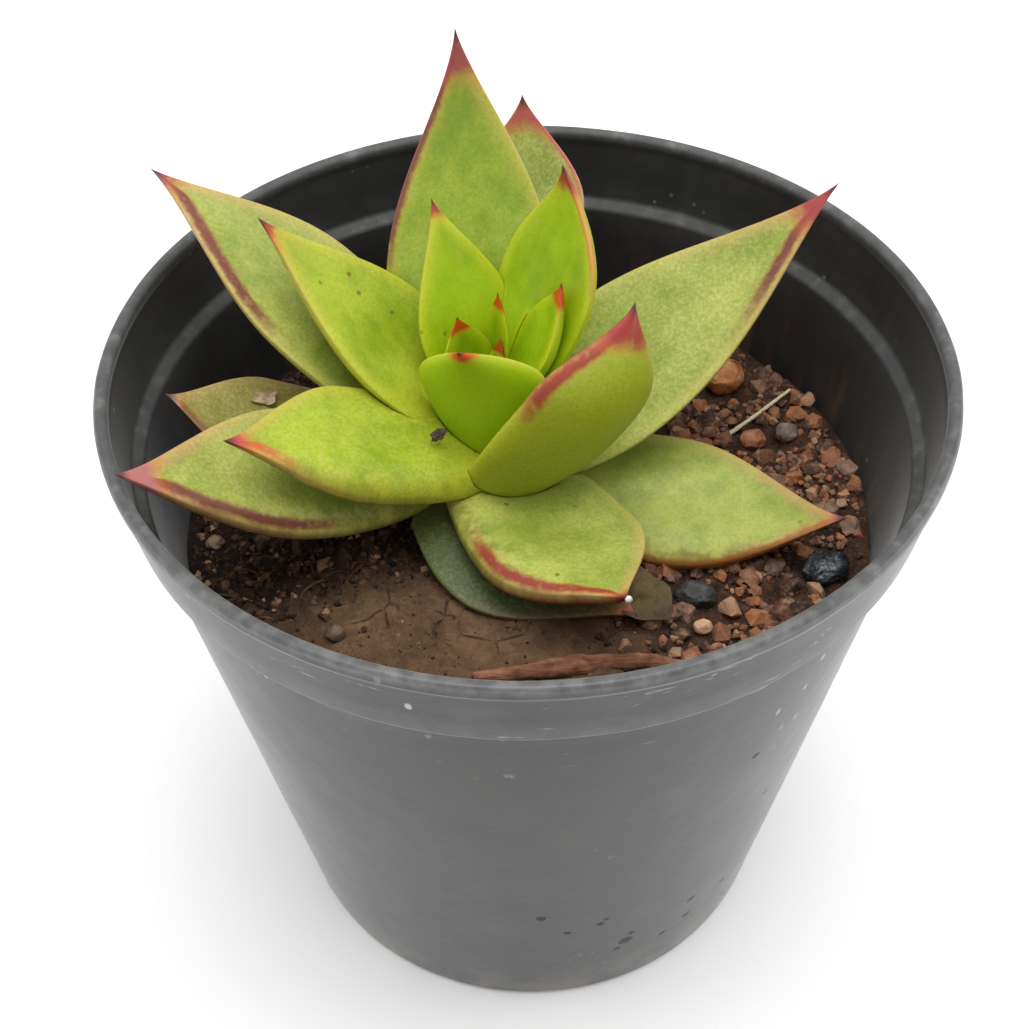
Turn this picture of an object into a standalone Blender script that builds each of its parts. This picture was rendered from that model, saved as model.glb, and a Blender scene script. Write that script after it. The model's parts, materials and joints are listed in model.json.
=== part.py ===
"""A red-edged rosette succulent in a round nursery pot. Metres, +Z up.
The origin is the centre of the pot's flat base and the pot stands on z = 0."""

import math
import random

import bmesh
import bpy
from mathutils import Vector
from mathutils.bvhtree import BVHTree

# ---- driving dimensions ----
RIM_RADIUS = 0.060  # outside of the rim
POT_HEIGHT = 0.106
BASE_RADIUS = 0.0415  # outside of the wall where it meets the base
WALL = 0.0011  # wall thickness of the pot
FLOOR = 0.0015  # thickness of the base plate
COLLAR = 0.012  # height of the collar under the rim
COLLAR_TAPER = 0.002  # how much narrower the collar is at its foot than at the rim
COLLAR_STEP = 0.0016  # how far the collar stands out from the wall below it
DRAIN_HOLES = 6
DRAIN_HOLE_RADIUS = 0.0036
DRAIN_RING_RADIUS = 0.029  # circle that the drain holes lie on
HEADSPACE = 0.030  # rim down to the soil, for a rosette of full size in a pot of 60 mm radius
PLANT_SIZE = 1.0  # size of the rosette against the pot it was drawn for
LEAF_THICKNESS = 0.27  # leaf thickness as a share of its width
GAP = 0.0003  # clearance between touching pieces

SCALE = RIM_RADIUS / 0.060  # the rosette grows with the pot
PLANT = SCALE * PLANT_SIZE
SOIL_TOP = POT_HEIGHT - HEADSPACE * PLANT
TURNS = 64  # flats round a turned piece

# Stem axis: offset from the pot's axis, and height measured down from the rim
STEM_FOOT = (-0.0090, 0.0036, -0.026)
STEM_HEAD = (-0.0050, 0.0066, -0.004)
STEM_FOOT_RADIUS = 0.0036
STEM_TOP = 0.0131  # the wood ends here below the rim; the axis runs on through the heart
STEM_TOP_RADIUS = 0.0018
STEM_ROOT = 0.006  # how far the stem goes down into the soil

# Each leaf, the ones that lie on top first. Degrees and millimetres. heading and rise give its
# direction, below its seat's depth under the rim, and seat_at and seat_out the seat's direction
# and distance from the stem axis. sag, widest and heel are shares: how far it hangs under a straight
# line, where it is widest, and its width at the base.
LEAVES = {
    "leaf_front_inner": dict(
        heading=6, rise=61, length=35.2, width=21.3, below=20, seat_at=-59, seat_out=10.7,
        roll=-67, sag=0.105, widest=0.57, heel=0.77),
    "leaf_front_heart": dict(
        heading=-131, rise=72, length=22, width=18.7, below=16.4, seat_at=-66, seat_out=5.8,
        roll=27, sag=-0.11, widest=0.51, heel=0.60),
    "bud_right": dict(
        heading=5, rise=68, length=20, width=11.5, below=11.4, seat_at=0, seat_out=3.9,
        roll=6, sag=0.05, widest=0.44, heel=0.60),
    "bud_middle": dict(
        heading=44, rise=73, length=9.9, width=4, below=12, seat_at=-60, seat_out=1.4,
        roll=0, sag=0.03, widest=0.42, heel=0.50),
    "bud_left": dict(
        heading=178, rise=80, length=14.2, width=8.2, below=12, seat_at=175, seat_out=0.8,
        roll=-55, sag=0.03, widest=0.42, heel=0.50),
    "bud_back": dict(
        heading=37, rise=84, length=15.6, width=6.5, below=11.5, seat_at=60, seat_out=2.2,
        roll=0, sag=0.03, widest=0.42, heel=0.50),
    "leaf_left_heart": dict(
        heading=119, rise=63, length=27.5, width=16, below=12, seat_at=102, seat_out=3.3,
        roll=6, sag=-0.025, widest=0.30, heel=0.62),
    "leaf_left_inner": dict(
        heading=162, rise=44, length=40, width=20, below=14.9, seat_at=161, seat_out=3.4,
        roll=-6, sag=0.0, widest=0.32, heel=0.74),
    "leaf_back_inner": dict(
        heading=35, rise=73, length=37, width=19, below=13.6, seat_at=30, seat_out=3.6,
        roll=2, sag=0.11, widest=0.47, heel=0.58),
    "leaf_right_outer": dict(
        heading=18, rise=36, length=61.5, width=24, below=22.2, seat_at=3, seat_out=6.2,
        roll=25, sag=0.05, widest=0.30, heel=0.63),
    "leaf_left_front": dict(
        heading=-154, rise=26.5, length=43, width=22.5, below=17.9, seat_at=-73, seat_out=6.9,
        roll=-7, sag=0.0, widest=0.50, heel=0.68),
    "leaf_front_low": dict(
        heading=-60, rise=10.5, length=38.5, width=28, below=21.6, seat_at=-67, seat_out=5.4,
        roll=-13, sag=0.065, widest=0.50, heel=0.74),
    "leaf_back_tall": dict(
        heading=94, rise=60, length=54, width=26, below=16.2, seat_at=94, seat_out=3.8,
        roll=-11, sag=0.07, widest=0.30, heel=0.60),
    "leaf_left_outer": dict(
        heading=153, rise=34.5, length=57, width=22, below=19.4, seat_at=155, seat_out=5.6,
        roll=-4, sag=-0.03, widest=0.45, heel=0.61),
    "leaf_left_low": dict(
        heading=-146.5, rise=28, length=54, width=23.5, below=23, seat_at=-144, seat_out=6,
        roll=-17, sag=0.035, widest=0.43, heel=0.58),
    "leaf_left_small": dict(
        heading=-178.5, rise=19, length=41.5, width=17.5, below=22.5, seat_at=-178, seat_out=5,
        roll=-9, sag=0.065, widest=0.64, heel=0.60),
    "leaf_right_low": dict(
        heading=-18.5, rise=5.5, length=51.5, width=24.5, below=24.2, seat_at=-22, seat_out=6,
        roll=9, sag=0.075, widest=0.49, heel=0.60),
    "leaf_back_low": dict(
        heading=79, rise=44, length=48.5, width=22, below=18.4, seat_at=75, seat_out=4.5,
        roll=-20, sag=0.09, widest=0.66, heel=0.60),
    "leaf_back_left": dict(
        heading=124, rise=16, length=38, width=17, below=24, seat_at=124, seat_out=5.5,
        roll=0, sag=0.06, widest=0.50, heel=0.60),
    "leaf_back_right": dict(
        heading=50, rise=12, length=40, width=17, below=25, seat_at=50, seat_out=5.5,
        roll=0, sag=0.06, widest=0.50, heel=0.60),
    "leaf_under_front": dict(
        heading=-40, rise=-4, length=35, width=27, below=24.1, seat_at=-112, seat_out=8.3,
        roll=11, sag=0.025, widest=0.39, heel=0.60),
    "leaf_withered": dict(
        heading=-47, rise=-2, length=37, width=8.5, below=25.5, seat_at=-45, seat_out=5,
        roll=0, sag=0.02, widest=0.86, heel=0.40),
}
TIP_POWER = 1.35  # above 1 the tip is drawn out to a point
CUP = 0.12  # how far a leaf's edges rise above its middle
UPPER_SHARE = 0.18  # share of the thickness above the leaf's middle surface
STATIONS = [0.0, 0.12, 0.25, 0.38, 0.50, 0.62, 0.74, 0.85, 0.94]
HEEL = [(-0.055, 0.40), (-0.035, 0.78)]  # rounded end at the stem: place along the leaf, size
HEEL_END = 0.008
AROUND = 12
SOIL_SPOKES = 40
SOIL_SIDE_RINGS = [0.04, 0.35, 0.70]
SOIL_TOP_RINGS = [1.0, 0.94, 0.86, 0.77, 0.67, 0.56, 0.44, 0.30, 0.16]

# One row for each stone: name, x, y, half sizes, turn in degrees, colour
STONES = [
    ("stone_black", 43.3, -15.4, (4.2, 3.4, 2.6), 20, (0.030, 0.032, 0.034)),
    ("stone_dark", 23.8, -20.4, (3.4, 2.6, 2.2), -10, (0.045, 0.043, 0.042)),
    ("stone_orange", 33.0, 27.0, (3.9, 3.2, 3.0), 35, (0.32, 0.12, 0.045)),
    ("stone_tan", 24.2, -26.8, (1.5, 1.3, 1.2), 0, (0.42, 0.27, 0.18)),
    ("stone_round", -27.5, -27.5, (1.6, 1.5, 1.3), 0, (0.10, 0.075, 0.060)),
    ("stone_brown", 36.0, 12.5, (2.5, 2.2, 1.8), 50, (0.22, 0.095, 0.055)),
    ("stone_grey", 41.6, 14.2, (2.2, 1.9, 1.6), 15, (0.16, 0.13, 0.11)),
    ("stone_pale", -47.0, -7.8, (1.7, 1.5, 1.3), 30, (0.45, 0.31, 0.20)),
]
STRAW = [(31.2, 13.2, 0.5), (36.9, 17.9, 1.2), (43.3, 23.4, 2.0)]  # x, y, height over the soil level
STRAW_RADIUS = 0.00035
ROOT_STICK = [
    (-8.0, -36.2, 0.9), (-2.0, -35.2, 1.5), (6.0, -33.8, 1.9), (14.0, -33.0, 1.7), (22.5, -33.6, 1.1),
]
ROOT_STICK_RADIUS = 0.0013
SCRAP = (-12.7, -5.0, -10.9, (1.7, 1.3, 1.6))  # x, y, height over the rim, half sizes


# ---- scene and helpers ----
for thing in list(bpy.data.objects):
    bpy.data.objects.remove(thing, do_unlink=True)
parts = bpy.data.collections.new("potted_succulent")
cutters = bpy.data.collections.new("cutters")
for group in (parts, cutters):
    bpy.context.scene.collection.children.link(group)
cutters.hide_render = True


def material(name, colour, roughness, metallic=0.0):
    made = bpy.data.materials.get(name) or bpy.data.materials.new(name)
    made.use_nodes = True
    shader = made.node_tree.nodes["Principled BSDF"]
    shader.inputs["Base Color"].default_value = (*colour, 1)
    shader.inputs["Roughness"].default_value = roughness
    shader.inputs["Metallic"].default_value = metallic
    return made


def add_object(name, mesh, look, group=None):
    made = bpy.data.objects.new(name, mesh)
    (group or parts).objects.link(made)
    if look:
        mesh.materials.append(look)
    if group is cutters:
        made.hide_render = True
        made.display_type = "WIRE"
    return made


def mesh_of_rings(name, rings, first, last):
    """A closed mesh over rings of points, with a fan to one point at each end."""
    bm = bmesh.new()
    start, end = bm.verts.new(first), bm.verts.new(last)
    rows = [[bm.verts.new(p) for p in ring] for ring in rings]
    count = len(rows[0])
    for j in range(count):
        k = (j + 1) % count
        bm.faces.new((start, rows[0][k], rows[0][j]))
        bm.faces.new((end, rows[-1][j], rows[-1][k]))
        for low, high in zip(rows, rows[1:]):
            bm.faces.new((low[j], low[k], high[k], high[j]))
    bmesh.ops.recalc_face_normals(bm, faces=bm.faces)
    for face in bm.faces:
        face.smooth = True
    mesh = bpy.data.meshes.new(name)
    bm.to_mesh(mesh)
    bm.free()
    return mesh


def turned(name, profile, look):
    """A solid of revolution about +Z. The profile runs down its outer side."""
    mesh = bpy.data.meshes.new(name)
    points = [(x, 0.0, z) for x, z in profile]
    mesh.from_pydata(points, [(i, i + 1) for i in range(len(points) - 1)], [])
    made = add_object(name, mesh, look)
    screw = made.modifiers.new("turn", "SCREW")
    screw.steps = screw.render_steps = TURNS
    screw.use_merge_vertices = True
    screw.merge_threshold = 0.0001
    screw.use_normal_calculate = False
    return made


def cut(target, cutter, solver="EXACT"):
    bite = target.modifiers.new("clear_" + cutter.name, "BOOLEAN")
    bite.operation, bite.solver, bite.object = "DIFFERENCE", solver, cutter


def tree_of(thing):
    bm = bmesh.new()
    bm.from_mesh(thing.data)
    tree = BVHTree.FromBMesh(bm)
    bm.free()
    return tree


def settle(target):
    """Applies the cuts and keeps the largest piece that they leave."""
    graph = bpy.context.evaluated_depsgraph_get()
    mesh = bpy.data.meshes.new_from_object(target.evaluated_get(graph))
    target.modifiers.clear()
    target.data = mesh
    bm = bmesh.new()
    bm.from_mesh(mesh)
    left, bodies = set(bm.faces), []
    while left:
        body, reached = [], [left.pop()]
        while reached:
            face = reached.pop()
            body.append(face)
            for edge in face.edges:
                if len(edge.link_faces) > 2:
                    continue  # two bodies that only touch along this edge
                for other in edge.link_faces:
                    if other in left:
                        left.discard(other)
                        reached.append(other)
        bodies.append(body)
    bodies.sort(key=lambda body: sum(face.calc_area() for face in body))
    for small in bodies[:-1]:
        bmesh.ops.delete(bm, geom=small, context="FACES")
    bm.to_mesh(mesh)
    bm.free()


def clear_of(target, cutters_so_far):
    """Cuts the target clear of every cutter that it meets."""
    own = tree_of(target)
    met = [c for c in cutters_so_far if own.overlap(tree_of(c))]
    for cutter in met:
        cut(target, cutter, "MANIFOLD")  # EXACT drops whole leaves where several meet
    if met:
        settle(target)


# ---- pot ----
def wall_outside(z):
    """Outer radius of the tapered wall at height z."""
    top = RIM_RADIUS - COLLAR_TAPER - COLLAR_STEP
    return BASE_RADIUS + (top - BASE_RADIUS) * z / (POT_HEIGHT - COLLAR)


plastic = material("black_plastic", (0.030, 0.031, 0.033), 0.55)
ledge = POT_HEIGHT - COLLAR
collar_foot = RIM_RADIUS - COLLAR_TAPER
pot = turned(
    "pot",
    [
        (0.0, FLOOR),
        (wall_outside(FLOOR) - WALL - 0.0012, FLOOR),
        (wall_outside(FLOOR + 0.0012) - WALL, FLOOR + 0.0012),
        (wall_outside(ledge - 0.001) - WALL, ledge - 0.001),
        (collar_foot - WALL, ledge + 0.0003),
        (RIM_RADIUS - 0.0016, POT_HEIGHT - 0.0024),
        (RIM_RADIUS - 0.0020, POT_HEIGHT - 0.0014),
        (RIM_RADIUS - 0.0019, POT_HEIGHT - 0.0005),
        (RIM_RADIUS - 0.0013, POT_HEIGHT),
        (RIM_RADIUS - 0.0004, POT_HEIGHT),
        (RIM_RADIUS, POT_HEIGHT - 0.0005),
        (RIM_RADIUS, POT_HEIGHT - 0.0017),
        (RIM_RADIUS - 0.0004, POT_HEIGHT - 0.0024),
        (collar_foot, ledge),
        (collar_foot - 0.0003, ledge - 0.0005),
        (wall_outside(ledge - 0.0011), ledge - 0.0008),
        (wall_outside(0.0010), 0.0010),
        (BASE_RADIUS - 0.0008, 0.0),
        (0.0, 0.0),
    ],
    plastic,
)
for i in range(DRAIN_HOLES):
    angle = 2 * math.pi * i / DRAIN_HOLES
    bpy.ops.mesh.primitive_cylinder_add(
        vertices=16, radius=DRAIN_HOLE_RADIUS, depth=FLOOR * 4,
        location=(
            DRAIN_RING_RADIUS * math.cos(angle), DRAIN_RING_RADIUS * math.sin(angle), FLOOR / 2,
        ),
    )
    drill = bpy.context.object
    drill.name = f"drain_drill_{i + 1}"
    bpy.context.collection.objects.unlink(drill)
    cutters.objects.link(drill)
    drill.hide_render, drill.display_type = True, "WIRE"
    cut(pot, drill)


# ---- stem ----
def stem_axis(below_rim):
    """Point on the stem's axis at this depth below the rim, in millimetres."""
    share = (below_rim / 1000 + STEM_FOOT[2]) / (STEM_FOOT[2] - STEM_HEAD[2])
    foot, head = Vector(STEM_FOOT), Vector(STEM_HEAD)
    return (foot + (head - foot) * share) * PLANT + Vector((0, 0, POT_HEIGHT))


def stem_mesh(name, grow):
    foot = stem_axis(-STEM_FOOT[2] * 1000)
    head = stem_axis(STEM_TOP * 1000)
    root_end = min(foot.z, SOIL_TOP) - STEM_ROOT
    rows = []
    for z, r in (
        (root_end - grow, 0.7 * STEM_FOOT_RADIUS), (foot.z, STEM_FOOT_RADIUS),
        (0.5 * (foot.z + head.z), 0.80 * STEM_FOOT_RADIUS), (head.z + grow, STEM_TOP_RADIUS),
    ):
        k = max(0.0, (z - foot.z) / (head.z - foot.z))
        centre = foot + (head - foot) * k
        r = r * PLANT + grow
        rows.append([
            (centre.x + r * math.cos(a), centre.y + r * math.sin(a), z)
            for a in (2 * math.pi * j / AROUND for j in range(AROUND))
        ])
    first = (foot.x, foot.y, rows[0][0][2] - 0.001)
    last = (head.x, head.y, rows[-1][0][2] + 0.0004)
    return mesh_of_rings(name, rows, first, last)


stem = add_object("stem", stem_mesh("stem", 0.0), material("stem_green", (0.22, 0.26, 0.08), 0.6))
# The room that each piece takes up, with its clearance: what comes later is cut clear of it.
placed = [add_object("room_for_stem", stem_mesh("room_for_stem", GAP), None, cutters)]


# ---- leaves ----
def fullness(t, widest, base, power):
    """Width or thickness at t along a leaf, as a share of the largest."""
    if t < widest:
        return base + (1 - base) * math.sin(math.pi / 2 * max(t, 0) / widest)
    return math.cos(math.pi / 2 * (t - widest) / (1 - widest)) ** power


def leaf_mesh(name, leaf, grow):
    """A leaf grown by this margin: a loft of lens-shaped sections from its heel to its tip."""
    heading, rise, seat_at, roll = (
        math.radians(leaf[k]) for k in ("heading", "rise", "seat_at", "roll")
    )
    length, width, seat_out = (leaf[k] * PLANT / 1000 for k in ("length", "width", "seat_out"))
    below, sag, widest, heel = (leaf[k] for k in ("below", "sag", "widest", "heel"))
    seat = stem_axis(below) + seat_out * Vector((math.cos(seat_at), math.sin(seat_at), 0))
    along = Vector((math.cos(heading) * math.cos(rise), math.sin(heading) * math.cos(rise), math.sin(rise)))
    across = Vector((-math.sin(heading), math.cos(heading), 0))
    across = math.cos(roll) * across + math.sin(roll) * along.cross(across)
    face = along.cross(across)

    def middle(t):
        return seat + t * length * along - sag * length * 4 * t * (1 - t) * (0.5 + t) * face

    rows = []
    for t, size in HEEL + [(t, 1.0) for t in STATIONS]:
        half = size * width / 2 * fullness(t, widest, heel, TIP_POWER)
        thick = size * LEAF_THICKNESS * width * fullness(t, 0.3, 0.75, 0.8)
        ring = []
        for j in range(AROUND):
            c = math.cos(2 * math.pi * j / AROUND)
            s = math.sin(2 * math.pi * j / AROUND)
            up = thick * s * (UPPER_SHARE if s > 0 else 1 - UPPER_SHARE) + CUP * half * c * c
            out = grow * math.copysign(min(1.0, 2.5 * abs(s)), s)  # an even margin over the flat faces
            ring.append(middle(t) + (half + grow) * c * across + (up + out) * face)
        rows.append(ring)
    return mesh_of_rings(
        name, rows, middle(HEEL[0][0] - HEEL_END) - grow * along, middle(1.0) + grow * along
    )


rings = {"leaf": (0.20, 0.28, 0.07), "bud": (0.38, 0.52, 0.03)}
odd = {"leaf_under_front": (0.05, 0.075, 0.02), "leaf_withered": (0.10, 0.075, 0.03)}
for name, leaf_sizes in LEAVES.items():
    green = odd.get(name) or rings[name.split("_")[0]]
    leaf = add_object(name, leaf_mesh(name, leaf_sizes, 0.0), material("look_" + name, green, 0.5))
    clear_of(leaf, placed)
    room = leaf_mesh("room_for_" + name, leaf_sizes, GAP)
    placed.append(add_object("room_for_" + name, room, None, cutters))


# ---- soil ----
def soil_height(x, y):
    """Height of the soil surface: a low mound with a firm clod at the front left."""
    x, y = x / SCALE, y / SCALE
    mound = 0.0012 * math.exp(-((x + 0.008) ** 2 + (y - 0.004) ** 2) / 0.0006)
    clod = 0.0020 / (1 + math.exp(((x + 0.010) ** 2 / 0.00075 + (y + 0.030) ** 2 / 0.00022 - 1) * 3))
    waves = 0.0005 * math.sin(310 * x + 1.0) * math.sin(270 * y + 2.0)
    waves += 0.0003 * math.sin(620 * x + 480 * y)
    return SOIL_TOP + mound + clod + waves


def wall_inside(z):
    return wall_outside(z) - WALL - GAP


def soil_mesh(name):
    """The soil from its underside up the pot's wall and in over its uneven top."""
    floor_radius = wall_inside(FLOOR) - 0.0014
    side_radius = [(share * floor_radius, FLOOR + GAP) for share in (0.5, 1.0)]
    for share in SOIL_SIDE_RINGS:
        z = FLOOR + (SOIL_TOP - FLOOR) * share
        side_radius.append((wall_inside(z), z))
    edge = wall_inside(SOIL_TOP - 0.002)
    angles = [2 * math.pi * j / SOIL_SPOKES for j in range(SOIL_SPOKES)]
    rows = [[(r * math.cos(a), r * math.sin(a), z) for a in angles] for r, z in side_radius]
    for share in SOIL_TOP_RINGS:
        spots = [(share * edge * math.cos(a), share * edge * math.sin(a)) for a in angles]
        rows.append([(x, y, soil_height(x, y)) for x, y in spots])
    return mesh_of_rings(name, rows, (0, 0, FLOOR + GAP), (0, 0, soil_height(0, 0)))


soil = add_object("soil", soil_mesh("soil"), material("potting_soil", (0.085, 0.050, 0.032), 0.95))
clear_of(soil, placed)


# ---- stones, straw, root and scrap ----
def stone_mesh(name, size, seed, grow):
    """A rounded, slightly faceted stone."""
    bm = bmesh.new()
    bmesh.ops.create_icosphere(bm, subdivisions=2, radius=1.0)
    dice = random.Random(seed)
    pushes = [
        (Vector([dice.uniform(-1, 1) for _ in range(3)]).normalized(), dice.uniform(0.06, 0.2))
        for _ in range(7)
    ]
    for vert in bm.verts:
        for way, depth in pushes:
            over = vert.co.dot(way) - (1 - depth)
            if over > 0:
                vert.co -= way * over
        vert.co = Vector([along * (half + grow) for along, half in zip(vert.co, size)])
    for face in bm.faces:
        face.smooth = True
    mesh = bpy.data.meshes.new(name)
    bm.to_mesh(mesh)
    bm.free()
    return mesh


def tube_mesh(name, path, radius, grow, sides=8):
    """A tapering round stick through these points."""
    path = [Vector(p) for p in path]
    rows = []
    for i, p in enumerate(path):
        way = (path[min(i + 1, len(path) - 1)] - path[max(i - 1, 0)]).normalized()
        side = way.cross(Vector((0, 0, 1))).normalized()
        over = side.cross(way)
        r = radius * (1 - 0.45 * abs(2 * i / (len(path) - 1) - 1) ** 2) + grow
        rows.append([
            p + r * (math.cos(a) * side + math.sin(a) * over)
            for a in (2 * math.pi * j / sides for j in range(sides))
        ])
    ends = 0.4 * radius + grow
    first = path[0] - ends * (path[1] - path[0]).normalized()
    last = path[-1] + ends * (path[-1] - path[-2]).normalized()
    return mesh_of_rings(name, rows, first, last)


def add_loose(name, look, mesh_at, location=(0, 0, 0), turn=0.0):
    """Adds a piece clear of everything placed before it, and keeps its room."""
    made = add_object(name, mesh_at(name, 0.0), look)
    room = add_object("room_for_" + name, mesh_at("room_for_" + name, GAP), None, cutters)
    for thing in (made, room):
        for vert in thing.data.vertices:
            x, y, z = vert.co
            vert.co = (
                location[0] + x * math.cos(turn) - y * math.sin(turn),
                location[1] + x * math.sin(turn) + y * math.cos(turn),
                location[2] + z,
            )
    clear_of(made, placed)
    placed.append(room)
    return made


for seed, (name, x, y, size, turn, colour) in enumerate(STONES):
    x, y = x * SCALE / 1000, y * SCALE / 1000
    size = [v / 1000 for v in size]
    z = soil_height(x, y) + size[2] * 0.55
    add_loose(
        name, material("look_" + name, colour, 0.6),
        lambda n, grow, size=size, seed=seed: stone_mesh(n, size, seed, grow),
        (x, y, z), math.radians(turn),
    )


def over_soil(path, radius):
    return [
        (x * SCALE / 1000, y * SCALE / 1000,
         max(SOIL_TOP + h / 1000, soil_height(x * SCALE / 1000, y * SCALE / 1000) + 0.3 * radius))
        for x, y, h in path
    ]


add_loose(
    "root_stick", material("woody_root", (0.15, 0.070, 0.045), 0.85),
    lambda n, grow: tube_mesh(n, over_soil(ROOT_STICK, ROOT_STICK_RADIUS), ROOT_STICK_RADIUS, grow),
)
add_loose(
    "straw", material("dry_straw", (0.62, 0.52, 0.33), 0.7),
    lambda n, grow: tube_mesh(n, over_soil(STRAW, STRAW_RADIUS), STRAW_RADIUS, grow, 6),
)
x, y, z, size = SCRAP
add_loose(
    "scrap", material("dead_scrap", (0.045, 0.035, 0.025), 0.8),
    lambda n, grow: stone_mesh(n, [v * PLANT / 1000 for v in size], 99, grow),
    (x * PLANT / 1000, y * PLANT / 1000, POT_HEIGHT + z * PLANT / 1000),
)
# The loose pieces lie half sunk in the soil.
for room in placed[-len(STONES) - 3:]:
    clear_of(soil, [room])
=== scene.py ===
"""Looks of a red-edged rosette succulent in a round nursery pot, made around its CAD frame.
Metres, +Z up. The origin is the centre of the pot's flat base."""

import json
import math
import random

import bmesh
import bpy
import numpy as np
from mathutils import Matrix, Vector, noise
from mathutils.bvhtree import BVHTree

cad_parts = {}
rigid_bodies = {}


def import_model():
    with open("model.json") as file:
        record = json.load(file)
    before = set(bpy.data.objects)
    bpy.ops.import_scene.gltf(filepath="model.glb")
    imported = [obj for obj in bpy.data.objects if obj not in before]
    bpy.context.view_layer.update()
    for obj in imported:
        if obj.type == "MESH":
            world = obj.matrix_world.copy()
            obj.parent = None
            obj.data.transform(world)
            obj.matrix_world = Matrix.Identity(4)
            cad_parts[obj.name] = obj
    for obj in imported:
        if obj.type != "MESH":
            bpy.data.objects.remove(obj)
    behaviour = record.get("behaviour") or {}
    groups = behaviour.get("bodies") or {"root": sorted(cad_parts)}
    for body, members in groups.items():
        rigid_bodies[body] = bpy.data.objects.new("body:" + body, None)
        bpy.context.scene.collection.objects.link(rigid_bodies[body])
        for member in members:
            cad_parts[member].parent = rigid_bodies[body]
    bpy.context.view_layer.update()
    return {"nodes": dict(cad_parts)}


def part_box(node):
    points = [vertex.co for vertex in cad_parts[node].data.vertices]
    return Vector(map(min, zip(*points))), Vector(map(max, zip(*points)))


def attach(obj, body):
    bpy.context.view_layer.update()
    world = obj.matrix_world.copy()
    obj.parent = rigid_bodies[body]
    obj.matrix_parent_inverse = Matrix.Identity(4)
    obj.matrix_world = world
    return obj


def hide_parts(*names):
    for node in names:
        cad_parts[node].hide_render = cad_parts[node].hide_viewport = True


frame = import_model()

# ---- sizes taken from the frame ----
POT_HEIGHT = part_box("pot")[1].z
RIM_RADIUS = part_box("pot")[1].x

# ---- the pot's own measures ----
BASE_RADIUS = 0.0415
WALL = 0.0011
FLOOR = 0.0015
COLLAR = 0.012
COLLAR_TAPER = 0.002
COLLAR_STEP = 0.0016
DRAIN_HOLES = 6
DRAIN_HOLE_RADIUS = 0.0036
DRAIN_RING_RADIUS = 0.029
POT_CREASE = math.radians(50)  # sharper bends than this stay crisp
POT_TURNS = 288  # corners of the pot round its axis
HEADSPACE = 0.030  # from the rim down to the soil
SOIL_GAP = 0.0003  # between the soil and the pot
LEDGE = POT_HEIGHT - COLLAR
SOIL_TOP = POT_HEIGHT - HEADSPACE

# ---- the rosette's measures ----
STEM_FOOT = (-0.0090, 0.0036, -0.026)  # z is measured from the rim
STEM_HEAD = (-0.0050, 0.0066, -0.004)
STEM_TOP = 0.0131
STEM_FOOT_RADIUS = 0.0036
STEM_TOP_RADIUS = 0.0018
LEAF_THICKNESS = 0.27
TIP_POWER = 1.35
CUP = 0.12
UPPER_SHARE = 0.18
HEEL_REACH = 0.063  # how far the rounded heel reaches behind the seat, as a share of the length
LEAF_AROUND = 44
STEM_AROUND = 32
LEAF_CREASE = math.radians(55)
CRUMPLE = 0.35  # of the withered leaf
PRESS_GAP = 0.00012  # clearance between leaves that press together
BEAD_RADIUS = 0.00052  # near-white bead at the front leaf's tip: a painted highlight, the tip's glint made solid

# heading, rise, length, width, below, seat_at, seat_out, roll, sag, widest, heel (degrees and mm)
LEAVES = {
    "leaf_front_inner": (6, 61, 35.2, 21.3, 20, -59, 10.7, -67, 0.105, 0.57, 0.77),
    "leaf_front_heart": (-131, 72, 22, 18.7, 16.4, -66, 5.8, 27, -0.11, 0.51, 0.60),
    "bud_right": (5, 68, 20, 11.5, 11.4, 0, 3.9, 6, 0.05, 0.44, 0.60),
    "bud_middle": (44, 73, 9.9, 4, 12, -60, 1.4, 0, 0.03, 0.42, 0.50),
    "bud_left": (178, 80, 14.2, 8.2, 12, 175, 0.8, -55, 0.03, 0.42, 0.50),
    "bud_back": (37, 84, 15.6, 6.5, 11.5, 60, 2.2, 0, 0.03, 0.42, 0.50),
    "leaf_left_heart": (119, 63, 27.5, 16, 12, 102, 3.3, 6, -0.025, 0.30, 0.62),
    "leaf_left_inner": (162, 44, 40, 20, 14.9, 161, 3.4, -6, 0.0, 0.32, 0.74),
    "leaf_back_inner": (35, 73, 37, 19, 13.6, 30, 3.6, 2, 0.11, 0.47, 0.58),
    "leaf_right_outer": (18, 36, 61.5, 24, 22.2, 3, 6.2, 25, 0.05, 0.30, 0.63),
    "leaf_left_front": (-154, 26.5, 43, 22.5, 17.9, -73, 6.9, -7, 0.0, 0.50, 0.68),
    "leaf_front_low": (-60, 10.5, 38.5, 28, 21.6, -67, 5.4, -13, 0.065, 0.50, 0.74),
    "leaf_back_tall": (94, 60, 54, 26, 16.2, 94, 3.8, -11, 0.07, 0.30, 0.60),
    "leaf_left_outer": (153, 34.5, 57, 22, 19.4, 155, 5.6, -4, -0.03, 0.45, 0.61),
    "leaf_left_low": (-146.5, 28, 54, 23.5, 23, -144, 6, -17, 0.035, 0.43, 0.58),
    "leaf_left_small": (-178.5, 19, 41.5, 17.5, 22.5, -178, 5, -9, 0.065, 0.64, 0.60),
    "leaf_right_low": (-18.5, 5.5, 51.5, 24.5, 24.2, -22, 6, 9, 0.075, 0.49, 0.60),
    "leaf_back_low": (79, 44, 48.5, 22, 18.4, 75, 4.5, -20, 0.09, 0.66, 0.60),
    "leaf_back_left": (124, 16, 38, 17, 24, 124, 5.5, 0, 0.06, 0.50, 0.60),
    "leaf_back_right": (50, 12, 40, 17, 25, 50, 5.5, 0, 0.06, 0.50, 0.60),
    "leaf_under_front": (-40, -4, 35, 27, 24.1, -112, 8.3, 11, 0.025, 0.39, 0.60),
    "leaf_withered": (-47, -2, 37, 8.5, 25.5, -45, 5, 0, 0.02, 0.86, 0.40),
}

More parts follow.
